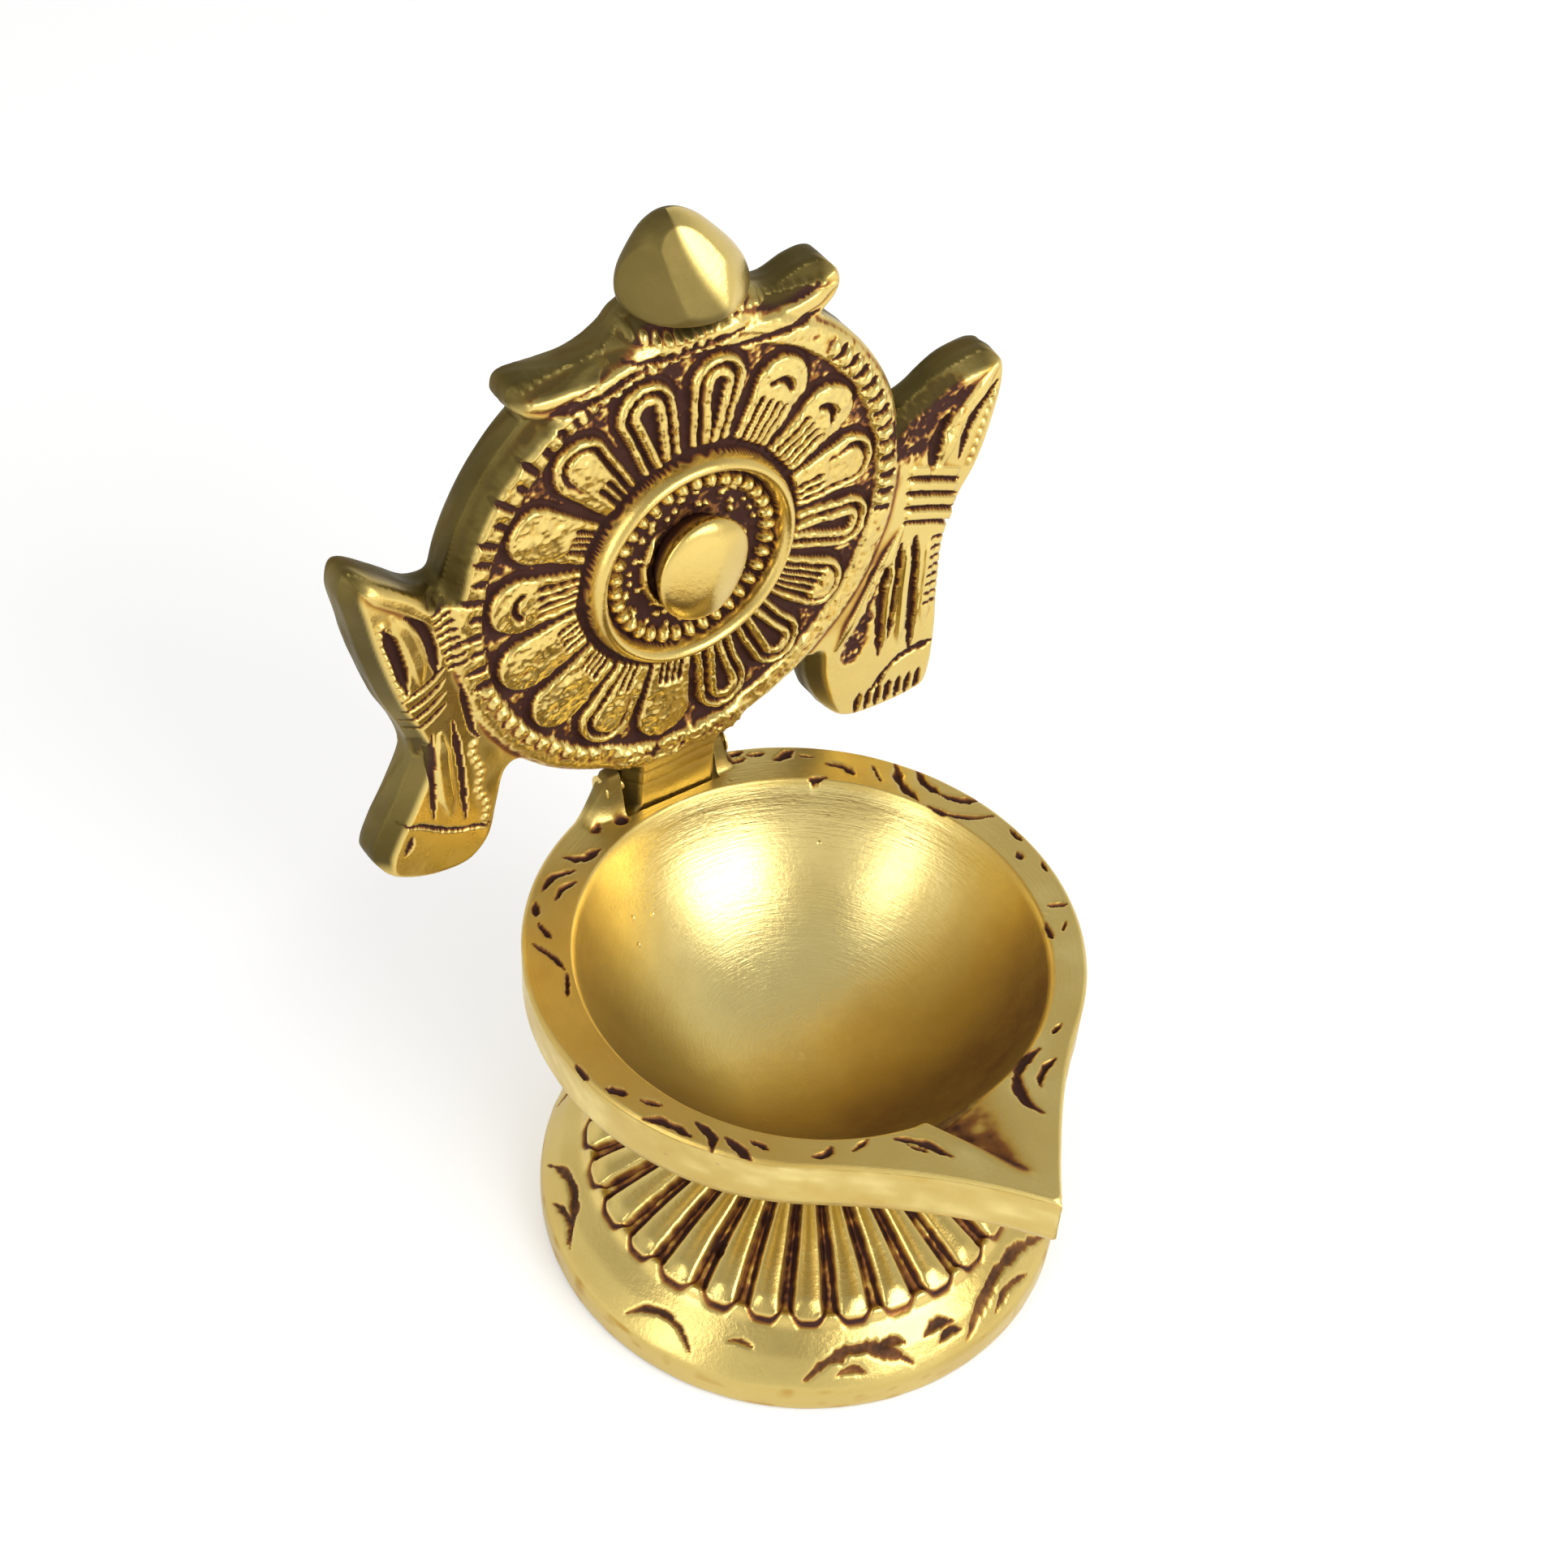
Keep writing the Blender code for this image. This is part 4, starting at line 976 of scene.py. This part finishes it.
# Engraved strokes of the rim: the points of each, and its half width.
RIM_STROKES = [
    ([(19.4, 14.0), (18.4, 11.9), (18.3, 9.2)], 0.34),
    ([(18.6, 8.2), (19.6, 6.2), (21.2, 4.9), (22.8, 4.1)], 0.2),
    ([(20.6, 12.3), (20.2, 10.4), (20.5, 8.8)], 0.3), ([(20.5, 8.8), (21.6, 7.2), (23.0, 6.3)], 0.28),
    ([(17.5, 14.9), (16.9, 12.8)], 0.14), ([(14.0, 17.4), (15.1, 16.5), (15.4, 14.9)], 0.24),
    ([(11.5, 16.5), (13.0, 15.9)], 0.2), ([(10.3, 20.2), (12.4, 20.3)], 0.3),
    ([(12.6, 19.6), (13.6, 18.7)], 0.14), ([(8.6, 22.0), (10.0, 21.4)], 0.2),
    ([(6.6, 22.9), (8.4, 22.6)], 0.22), ([(6.3, 21.9), (8.2, 21.8)], 0.18),
    ([(-12.2, 19.5), (-10.9, 18.7), (-9.2, 18.8)], 0.32),
    ([(-15.9, 17.2), (-14.3, 18.1), (-12.3, 17.8)], 0.2),
    ([(-15.5, 15.7), (-14.3, 16.5), (-12.9, 16.6)], 0.2), ([(-8.6, 20.9), (-7.6, 21.4)], 0.26),
    ([(-17.8, 15.0), (-17.1, 16.3)], 0.22), ([(-18.1, 12.2), (-18.1, 14.2)], 0.15),
    ([(-19.7, 12.6), (-19.0, 10.4), (-18.9, 8.6)], 0.15), ([(-20.2, 6.1), (-19.0, 8.2)], 0.14),
    ([(-23.4, -0.4), (-23.3, -2.0)], 0.22), ([(-22.7, -3.6), (-21.6, -5.0)], 0.24),
    ([(-21.0, -6.0), (-19.8, -7.4)], 0.18), ([(-21.8, -7.6), (-20.6, -8.7), (-19.7, -11.0)], 0.3),
    ([(-18.6, -10.2), (-18.3, -11.8), (-19.0, -12.9)], 0.3), ([(-17.5, -12.6), (-17.0, -15.2)], 0.26),
    ([(-16.1, -13.8), (-15.4, -15.2)], 0.18), ([(-12.9, -17.6), (-12.0, -18.0), (-11.1, -17.7)], 0.18),
    ([(-10.2, -18.9), (-8.4, -18.6)], 0.12),
    ([(-6.6, -19.7), (-5.4, -20.8), (-4.7, -22.0), (-4.2, -23.4)], 0.26),
    ([(-6.3, -20.6), (-5.4, -22.0)], 0.12),
    ([(8.9, -18.8), (6.6, -19.2), (5.1, -20.4), (4.3, -22.0), (4.5, -23.9)], 0.36),
    ([(9.3, -20.3), (8.0, -20.5), (6.8, -21.2), (6.2, -21.9)], 0.2), ([(12.2, -17.7), (10.8, -18.1)], 0.16),
    ([(19.8, -6.9), (21.4, -7.7)], 0.14), ([(18.4, -8.4), (17.7, -10.1)], 0.16),
    ([(20.0, -9.2), (19.0, -9.9)], 0.12), ([(23.0, 1.9), (23.0, 0.4)], 0.2),
    ([(21.7, -0.7), (21.5, -1.4)], 0.22), ([(22.8, -2.6), (22.5, -3.7)], 0.12),
]


def teardrop(angle):
    """Distance of the bowl's outline from its outer centre, at an angle from the spout's direction."""
    angle = np.abs((angle + math.pi) % (2 * math.pi) - math.pi)
    span = OUTER_RADIUS + FLANK_RADIUS
    spread = math.acos(
        (OUTER_RADIUS**2 + 2 * OUTER_RADIUS * FLANK_RADIUS + SPOUT_REACH**2) / (2 * span * SPOUT_REACH)
    )
    off = spread - angle
    flank = span * np.cos(off) - np.sqrt(np.clip(FLANK_RADIUS**2 - (span * np.sin(off)) ** 2, 0.0, None))
    return np.where(angle < spread, flank, OUTER_RADIUS)


def channel_way(y):
    """How far along the wick channel a place is, from 0 near the spout's tip to 1 at the hollow's edge."""
    return np.clip((y + 28.4) / 9.4, 0.0, 1.15)


def channel_depth(x, y):
    """Depth of the wick channel in plan: a steep left wall, a floor line and a long hollow right slope."""
    way = channel_way(y)
    lip = 0.1 - 4.1 * way
    floor = 0.2 - 3.0 * way
    far = 0.3 + 4.4 * way
    deep = 2.7 * way**1.15
    rise = smoothstep(0.0, 1.0, np.clip((x - lip) / np.maximum(floor - lip, 1e-3), 0, 1))
    fall = np.clip((far - x) / np.maximum(far - floor, 1e-3), 0.0, 1.0)
    fall = fall * fall * (1.6 - 0.6 * fall)
    return deep * np.where(x < floor, rise, fall) * (y < -12.0)


def rim_relief():
    """Engraving, wick channel and hinge ears of the rim, in plan."""
    relief = Relief((-26.0, -33.0), (26.0, 27.0), 0.12)
    relief.height += 0.03 * noise(relief.x, relief.y, 5.0, 111) + 0.014 * noise(relief.x, relief.y, 1.6, 112)
    for index, (points, half) in enumerate(RIM_STROKES):
        relief.line(points, 1.08 * half, -0.36, 0.66, taper=0.25, rough=0.8, seed=200 + index)
    edges = np.hypot(relief.x, relief.y)
    depth = channel_depth(relief.x, relief.y)
    way = channel_way(relief.y)
    relief.height -= depth
    # The channel darkens with depth and along a line at the foot of its steep left wall: patina in the
    # hollow, and painted shade under that wall.
    floor_line = bell(relief.x + 3.3 * way, 0.40) * smoothstep(0.02, 0.2, way)
    relief.darken(0.85 * floor_line * (relief.y < -18.5) * (edges > 19.0))
    tarnish_and_shade = 0.24 + 0.22 * noise(relief.x, relief.y, 1.1, 115) + 0.12 * noise(relief.x, relief.y, 0.5, 116)
    relief.darken(tarnish_and_shade * smoothstep(0.05, 0.7, depth))
    relief.patina_and_shade += 0.09 + 0.07 * smoothstep(-6.0, -18.0, relief.x)
    relief.patina_and_shade += 0.03 * noise(relief.x, relief.y, 3.0, 114)
    lip_line = bell(relief.x + 0.15 + 4.1 * way, 0.30) * smoothstep(0.0, 0.2, way) * (relief.y < -18.5)
    relief.height += 0.16 * lip_line * (edges > 20.0)
    left_ear = np.clip((9.4 + relief.x) / 3.4, 0.0, 1.0) ** 1.6
    right_ear = 0.84 * np.clip((7.2 - relief.x) / 1.3, 0.0, 1.0) ** 1.4
    ear = np.where(relief.x < 0, left_ear, right_ear) * smoothstep(21.2, 22.7, relief.y)
    lumps = 0.10 * rough_cast(relief.x * 0.7, relief.y * 0.7, 113)
    relief.height += ear * (3.85 + lumps)
    relief.darken(0.26 * smoothstep(0.25, 0.9, ear))
    relief.raw_and_shade = 0.75 * smoothstep(0.05, 0.4, ear)
    pit = smoothstep(0.7, 0.3, np.hypot((relief.x + 5.6) / 1.2, relief.y - 20.9))
    relief.height -= 0.5 * pit
    relief.darken(0.95 * pit)
    return relief


def bowl_outer_rings(phi):
    """Outer rings of the bowl from the rim's edge down to the base: their x, y, z and how raw they are."""
    band_foot = RIM_Z - BAND_HEIGHT
    reach = teardrop(phi)
    rings = []
    for drop in (0.12, 0.3, 0.6, 1.0, 1.5, 2.1, 2.7, 3.3, 3.9, 4.3, 4.6, BAND_HEIGHT):
        edge = -0.32 * smoothstep(BAND_HEIGHT - 0.5, BAND_HEIGHT + 0.1, drop)
        edge -= 0.30 * max(0.0, 1.0 - drop / 0.3) ** 2
        rings.append((reach + edge, RIM_Z - drop, 0.20))
    start = np.array((OUTER_RADIUS - 0.5, band_foot - 0.5))
    pull = np.array((16.5, 18.0))
    end = np.array((NECK_RADIUS, BASE_Z))
    for way in np.linspace(0.0, 1.0, 28):
        radius, height = start * (1 - way) ** 2 + pull * 2 * way * (1 - way) + end * way**2
        share = 0.96 * (1 - way) ** 1.3
        rings.append((radius + (reach - OUTER_RADIUS) * share, height, 0.5))
    made = []
    for radius, height, raw_and_shade in rings:
        fall = (RIM_Z - height) / (RIM_Z - BASE_Z)
        middle = OUTER_Y + (FOOT_Y - OUTER_Y) * fall**2 - BOWL_Y
        made.append((radius * np.sin(phi), middle - radius * np.cos(phi), np.full(phi.shape, height), raw_and_shade))
    return made


def build_bowl(surface):
    """The oil bowl: spun hollow, engraved rim with channel and ears, band, underside and the tang's slot."""
    steps = 860
    relief = rim_relief()
    phi = np.linspace(0.0, 2 * math.pi, steps, endpoint=False)
    reach = blur_loop(teardrop(phi), 2)
    outer = np.column_stack([reach * np.sin(phi), OUTER_Y - BOWL_Y - reach * np.cos(phi)])
    bearing = np.arctan2(outer[:, 0], -outer[:, 1])
    around = np.column_stack([np.sin(bearing), -np.cos(bearing)])
    sphere = (CAVITY_RADIUS**2 + CAVITY_DEPTH**2) / (2 * CAVITY_DEPTH)
    points, patina_and_shade_values, raw_and_shade_values = [], [], []

    hollow_rings = 58
    for ring in range(1, hollow_rings):
        radius = CAVITY_RADIUS * (ring / hollow_rings) ** 0.85
        x, y = radius * around[:, 0], radius * around[:, 1]
        wall = RIM_Z - CAVITY_DEPTH + sphere - math.sqrt(sphere**2 - radius**2)
        top = RIM_Z - channel_depth(x, y)
        points.append(np.column_stack([x, y, np.minimum(wall, top)]))
        # Painted shade: the front and left walls of the hollow, and a little of the right wall, are stained
        # darker and made raw and olive. This stands in for the darker reflections in those walls.
        not_back = smoothstep(20.0, 15.5, y)
        painted_wall_shade = 0.30 * smoothstep(5.0, -14.0, y) + 0.22 * smoothstep(-6.0, -18.0, x) * not_back
        painted_wall_shade += 0.03 * smoothstep(6.0, 18.0, x) * smoothstep(12.0, 2.0, y)
        patina_and_shade_values.append(0.01 + painted_wall_shade * (1.0 + 0.12 * noise(x, y, 4.0, 101)) + 0.1 * (wall > top))
        raw_and_shade_values.append(0.62 * np.maximum(smoothstep(2.0, -14.0, y), smoothstep(-5.0, -15.0, x) * not_back))

    rim_rings = 46
    inner = CAVITY_RADIUS * around
    width = np.linalg.norm(outer - inner, axis=1)
    for ring in range(rim_rings + 1):
        way = ring / rim_rings
        way -= 0.12 * math.sin(2 * math.pi * way)
        x, y = (inner * (1 - way) + outer * way).T
        ease = 0.28 * np.clip(1 - way * width / 0.32, 0, 1) ** 2
        ease += 0.30 * np.clip(1 - (1 - way) * width / 0.42, 0, 1) ** 2
        points.append(np.column_stack([x, y, RIM_Z + relief.at(relief.height, x, y) - ease]))
        patina_and_shade_values.append(relief.at(relief.patina_and_shade, x, y))
        raw_and_shade_values.append(0.04 + relief.at(relief.raw_and_shade, x, y))

    edge_lift = points[-1][:, 2] - RIM_Z
    for x, y, z, raw_and_shade in bowl_outer_rings(phi):
        share = np.clip((z - (RIM_Z - BAND_HEIGHT)) / BAND_HEIGHT, 0.0, 1.0)
        wavy = 0.05 * noise(24 * phi, z, 3.0, 121)
        points.append(np.column_stack([x * (1 + wavy / 24), y * (1 + wavy / 24), z + edge_lift * share]))
        smear = noise(24 * phi, z * 2, 2.4, 122) + 0.6 * noise(24 * phi, z * 3, 0.9, 123)
        patina_and_shade_values.append(np.clip(0.10 + 0.05 * smear, 0, 1))
        raw_and_shade_values.append(np.full(steps, raw_and_shade))

    local = np.vstack(points + [[(0.0, 0.0, RIM_Z - CAVITY_DEPTH)], [(0.0, FOOT_Y - BOWL_Y, BASE_Z)]])
    local[:, 0] += 0.55 * smoothstep(-17.0, -28.0, local[:, 1])
    local[:, 1] += BOWL_Y
    attributes = {
        "patina_and_shade": np.concatenate(patina_and_shade_values + [[0.03], [0.1]]),
        "raw_and_shade": np.concatenate(raw_and_shade_values + [[0.0], [0.5]]),
    }
    faces = ring_faces(len(points), steps, (True, True))
    made = make_object("bowl_engraved", local, faces, surface, attributes, "lamp", "bowl")
    cut_slot(made)
    return made


def cut_slot(bowl):
    """Cut the slot for the tang through the back of the rim."""
    shape = bmesh.new()
    bmesh.ops.create_cube(shape, size=1.0)
    low = Vector((-SLOT_HALF_WIDTH, SLOT_FRONT_Y, RIM_Z - SLOT_DEPTH)) * MM
    high = Vector((SLOT_HALF_WIDTH, SLOT_FRONT_Y + 8.0, RIM_Z + 8.0)) * MM
    bmesh.ops.scale(shape, vec=high - low, verts=shape.verts)
    bmesh.ops.translate(shape, vec=(low + high) / 2, verts=shape.verts)
    cutter = object_from_shape("slot_cutter", shape)
    modifier = bowl.modifiers.new("slot", "BOOLEAN")
    modifier.operation = "DIFFERENCE"
    modifier.object = cutter
    bpy.context.view_layer.update()
    evaluated = bowl.evaluated_get(bpy.context.evaluated_depsgraph_get())
    cut = bpy.data.meshes.new_from_object(evaluated)
    bowl.modifiers.clear()
    bowl.data = cut
    bpy.data.objects.remove(cutter, do_unlink=True)


# Foot. Its relief is laid out in plan, with the foot's middle at (0, 0).

# Radius and height of the foot's section, down the outside from its neck and up the inside to its hole.
FOOT_PROFILE = [
    (9.0, 13.1), (9.3, 12.5), (19.4, 7.9), (19.9, 6.9), (21.8, 5.4), (23.1, 3.8), (FOOT_RADIUS, 3.0),
    (FOOT_RADIUS, 0.4), (23.23, 0.0), (20.6, 0.0), (20.2, 2.4), (18.0, 4.8), (10.0, 8.6), (7.9, 10.1),
    (5.3, 10.1),
]

# Distance between the rings of the mesh along each stretch of the section.
FOOT_SPACING = [0.3, 0.2, 0.2, 0.2, 0.2, 0.2, 0.4, 0.2, 0.6, 0.6, 0.8, 1.5, 0.7, 0.7]


def foot_relief():
    """Petals with gritty grooves between them and a painted shadow along one side of each petal's outline,
    and engraved arcs on the plain ring, in plan.
    """
    relief = Relief((-25.0, -25.0), (25.0, 25.0), 0.12)
    x, y = relief.x, relief.y
    radius = np.hypot(x, y)
    turn = np.arctan2(y, x) + 0.012 * noise(x, y, 5.0, 131)
    # The petals were cut by eye and sit a little closer together at the front than at the back.
    front = turn + math.radians(120.0)
    turn = turn + 0.075 * np.sin(front) * (1 + np.cos(front)) / 1.6
    pitch = 2 * math.pi / PETAL_COUNT
    off = ((turn / pitch + 0.22) % 1.0 - 0.5) * pitch
    across = radius * np.abs(off)
    half = 0.362 * radius * pitch
    corner, petal_end = 1.05, 19.6
    from_side = np.clip(corner - (half - across), 0.0, None)
    from_end = np.clip(corner - (petal_end - radius), 0.0, None)
    inside = corner - np.hypot(from_side, from_end)
    petal = smoothstep(-0.05, 0.34, inside)
    grit = rough_cast(x, y, 132)
    outline = bell(inside + 0.15, 0.15) * smoothstep(9.0, 10.0, radius)
    field = smoothstep(19.3, 18.8, radius)
    groove = field * (1 - petal) * smoothstep(9.2, 9.8, radius)
    crown = 0.34 * np.clip(1 - (across / half) ** 2, 0, 1) * smoothstep(0.0, 1.6, petal_end - radius)
    crown += 0.04 * noise(x, y, 2.2, 134)
    relief.height += groove * (-0.50 + 0.18 * grit) + petal * (crown - 0.16)
    relief.height -= 0.30 * outline
    # Painted shadow: the petals' dark outline is the engraved line's patina, and it is painted darker along
    # one side of each petal than the other.
    painted_side_shadow = np.maximum(0.45 + 0.55 * smoothstep(0.01, -0.01, off), 1 - field)
    relief.patina_and_shade += groove * (0.36 - 0.5 * grit) + outline * painted_side_shadow * (0.8 + 0.2 * noise(x, y, 1.6, 135))
    relief.patina_and_shade = np.clip(relief.patina_and_shade, 0, 1)
    flaw = np.array([(-14.4, -7.6), (-14.0, -6.9), (-13.6, -7.2)])
    relief.line(flaw, 0.4, -0.35, 0.9, taper=0.1, rough=0.5, seed=136)
    engrave_foot_ring(relief)
    return relief


# Engraved arcs of the foot's plain ring: the angle of the middle and the half span in degrees, the radius of
# the ends and of the middle, and the half width.
FOOT_ARCS = [
    (-200.0, 11.0, 23.0, 21.2, 0.34), (-194.0, 6.5, 23.0, 22.3, 0.20), (-158.5, 8.5, 22.9, 21.6, 0.20),
    (-140.0, 3.5, 21.6, 21.3, 0.12), (-113.0, 12.0, 23.0, 21.4, 0.38), (-115.0, 3.2, 22.8, 22.5, 0.16),
    (-105.0, 3.0, 21.7, 21.3, 0.26), (-93.0, 4.2, 21.8, 21.4, 0.32), (-91.0, 3.2, 22.5, 22.2, 0.24),
    (-70.5, 17.5, 23.3, 21.2, 0.40), (-72.0, 6.5, 23.0, 22.5, 0.20), (-32.0, 14.0, 23.1, 21.3, 0.36),
    (-31.0, 6.0, 22.9, 22.4, 0.18), (4.0, 12.0, 23.0, 21.4, 0.30), (40.0, 15.0, 23.1, 21.3, 0.36),
    (41.0, 6.0, 22.9, 22.4, 0.18), (78.0, 12.0, 23.0, 21.5, 0.30), (118.0, 14.0, 23.1, 21.3, 0.36),
]


def engrave_foot_ring(relief):
    """Nested arcs and small nicks round the plain ring, with ragged edges."""
    for index, (middle, span, ends, top, half) in enumerate(FOOT_ARCS):
        curve = []
        for way in np.linspace(-1.0, 1.0, 7):
            angle = math.radians(middle + span * way)
            radius = top + (ends - top) * way**2
            curve.append((radius * math.cos(angle), radius * math.sin(angle)))
        relief.line(curve, half, -0.30, 0.62, taper=0.3, rough=0.9, seed=300 + index)


def build_foot(surface):
    """The hollow foot: carved outside on the plan relief, plain cast inside."""
    steps = 30 * PETAL_COUNT
    relief = foot_relief()
    profile = np.array(FOOT_PROFILE)
    stations = []
    for start, end, step in zip(profile, profile[1:], FOOT_SPACING):
        count = max(1, int(np.linalg.norm(end - start) / step))
        for index in range(count):
            stations.append(start + (end - start) * index / count)
    stations = np.array(stations + [profile[-1]])
    outer_count = int(np.argmax(stations[:, 1] < 0.35))
    for _ in range(2):
        stations[1:-1] = (stations[:-2] + 2 * stations[1:-1] + stations[2:]) / 4
    ahead = np.gradient(stations, axis=0)
    ahead /= np.linalg.norm(ahead, axis=1)[:, None]
    normal = np.column_stack([-ahead[:, 1], ahead[:, 0]])
    turn = np.linspace(0.0, 2 * math.pi, steps, endpoint=False)
    points, patina_and_shade_values, raw_and_shade_values = [], [], []
    for index, ((radius, height), (nx, nz)) in enumerate(zip(stations, normal)):
        x, y = radius * np.cos(turn), radius * np.sin(turn)
        if index < outer_count and radius < 23.4:
            lift = relief.at(relief.height, x, y) * smoothstep(23.4, 22.9, radius)
            patina_and_shade = relief.at(relief.patina_and_shade, x, y) * smoothstep(23.5, 22.8, radius)
            raw_and_shade = np.full(steps, 0.16 * smoothstep(19.6, 20.6, radius))
        else:
            lift = 0.02 * noise(23 * turn, np.full(steps, height), 1.5, 141)
            patina_and_shade = np.clip(0.05 + 0.18 * noise(23 * turn, np.full(steps, 2 * height), 1.5, 142), 0, 1)
            raw_and_shade = np.full(steps, 0.25 if index < outer_count else 0.95)
        rho = radius + lift * nx
        points.append(np.column_stack([rho * np.cos(turn), rho * np.sin(turn) + FOOT_Y, height + lift * nz]))
        patina_and_shade_values.append(patina_and_shade)
        raw_and_shade_values.append(raw_and_shade)
    hole, top = profile[-1][0], profile[0][1]
    bore = np.column_stack([hole * np.cos(turn), hole * np.sin(turn) + FOOT_Y, np.full(steps, top)])
    points = [bore] + points + [bore]
    patina_and_shade_values = [patina_and_shade_values[0]] + patina_and_shade_values + [patina_and_shade_values[-1]]
    raw_and_shade_values = [raw_and_shade_values[0]] + raw_and_shade_values + [raw_and_shade_values[-1]]
    local = np.vstack(points)
    faces = [face[::-1] for face in ring_faces(len(points), steps)]
    attributes = {"patina_and_shade": np.concatenate(patina_and_shade_values), "raw_and_shade": np.concatenate(raw_and_shade_values)}
    made = make_object("pedestal_carved", local, faces, surface, attributes, "lamp", "pedestal")
    shape = bmesh.new()
    shape.from_mesh(made.data)
    bmesh.ops.remove_doubles(shape, verts=shape.verts, dist=1e-7)
    bmesh.ops.recalc_face_normals(shape, faces=shape.faces)
    shape.to_mesh(made.data)
    shape.free()
    return made


# Studio.

def add_floor():
    """A large plain pale floor that glows a little, like paper lit from below."""
    shape = bmesh.new()
    bmesh.ops.create_grid(shape, x_segments=1, y_segments=1, size=3.0)
    floor = object_from_shape("floor", shape)
    paper, _, shader = new_material("pale_paper")
    shader.inputs["Base Color"].default_value = (0.96, 0.96, 0.955, 1.0)
    shader.inputs["Roughness"].default_value = 0.75
    shader.inputs["Emission Color"].default_value = (1.0, 1.0, 1.0, 1.0)
    shader.inputs["Emission Strength"].default_value = 0.26
    floor.data.materials.append(paper)


def add_softbox(name, direction, distance, size, power):
    """A rectangular area light that looks at the lamp's middle from a direction."""
    light = bpy.data.lights.new(name, "AREA")
    light.shape = "RECTANGLE"
    light.size, light.size_y = size
    light.energy = power
    made = bpy.data.objects.new(name, light)
    bpy.context.scene.collection.objects.link(made)
    target = Vector((0.0, BOWL_Y, RIM_Z)) * MM
    towards = Vector(direction).normalized()
    made.location = target + towards * distance
    made.rotation_euler = towards.to_track_quat("Z", "Y").to_euler()


def add_world(zenith, horizon):
    """A plain surround that is brighter near the horizon than overhead."""
    world = bpy.data.worlds.new("studio")
    world.use_nodes = True
    tree = world.node_tree
    place = shader_node(tree, "ShaderNodeTexCoord").outputs["Generated"]
    height = shader_node(tree, "ShaderNodeSeparateXYZ", {"Vector": place}).outputs["Z"]
    strength = range_node(tree, height, 0.1, 0.95, horizon, zenith)
    tree.links.new(strength, tree.nodes["Background"].inputs["Strength"])
    tree.nodes["Background"].inputs["Color"].default_value = (1.0, 1.0, 1.0, 1.0)
    bpy.context.scene.world = world


def add_camera():
    """The camera, from above the spout's left side."""
    azimuth, elevation, roll = math.radians(-39.25), math.radians(43.40), math.radians(5.42)
    back = Vector((
        math.sin(azimuth) * math.cos(elevation), -math.cos(azimuth) * math.cos(elevation), math.sin(elevation)
    ))
    right = (-back).cross(Vector((0.0, 0.0, 1.0))).normalized()
    up = right.cross(-back)
    turned_right = right * math.cos(roll) + up * math.sin(roll)
    turned_up = up * math.cos(roll) - right * math.sin(roll)
    lens = bpy.data.cameras.new("camera")
    lens.sensor_width = 36.0
    lens.lens = 52.33
    lens.clip_start = 0.01
    made = bpy.data.objects.new("camera", lens)
    bpy.context.scene.collection.objects.link(made)
    place = Vector((-84.554, BOWL_Y - 97.614, 171.559)) * MM
    turn = Matrix((turned_right, turned_up, back)).transposed()
    made.matrix_world = Matrix.Translation(place) @ turn.to_4x4()
    bpy.context.scene.camera = made


def main():
    """Build the looks round the frame."""
    bowl_brass = aged_brass("bowl_brass_aged", PALE_GOLD, 0.28, 0.4, scratches=0.75, pits=1.4)
    foot_brass = aged_brass("pedestal_brass_aged", GOLD, 0.24, 0.5)
    plate_brass = aged_brass("plate_brass_aged", GOLD, 0.27, 0.4)
    pin_brass = aged_brass("pin_brass_aged", GOLD, 0.34, 0.9)
    build_plate(plate_brass)
    build_boss(plate_brass)
    build_bud(plate_brass)
    build_bowl(bowl_brass)
    build_foot(foot_brass)
    steel = turned_steel("zinc_steel", (0.60, 0.60, 0.58))
    for node, surface in (("hinge_pin", pin_brass), ("foot_screw", steel), ("foot_washer", steel)):
        frame["nodes"][node].data.materials.clear()
        frame["nodes"][node].data.materials.append(surface)
    add_floor()
    add_world(0.47, 0.94)
    add_softbox("front_softbox", (0.22, -0.85, 0.52), 0.5, (0.36, 0.30), 1.55)
    add_softbox("left_softbox", (-0.92, -0.16, 0.42), 0.5, (0.15, 0.42), 0.56)
    add_camera()
    bpy.context.scene.view_settings.view_transform = "Standard"


main()
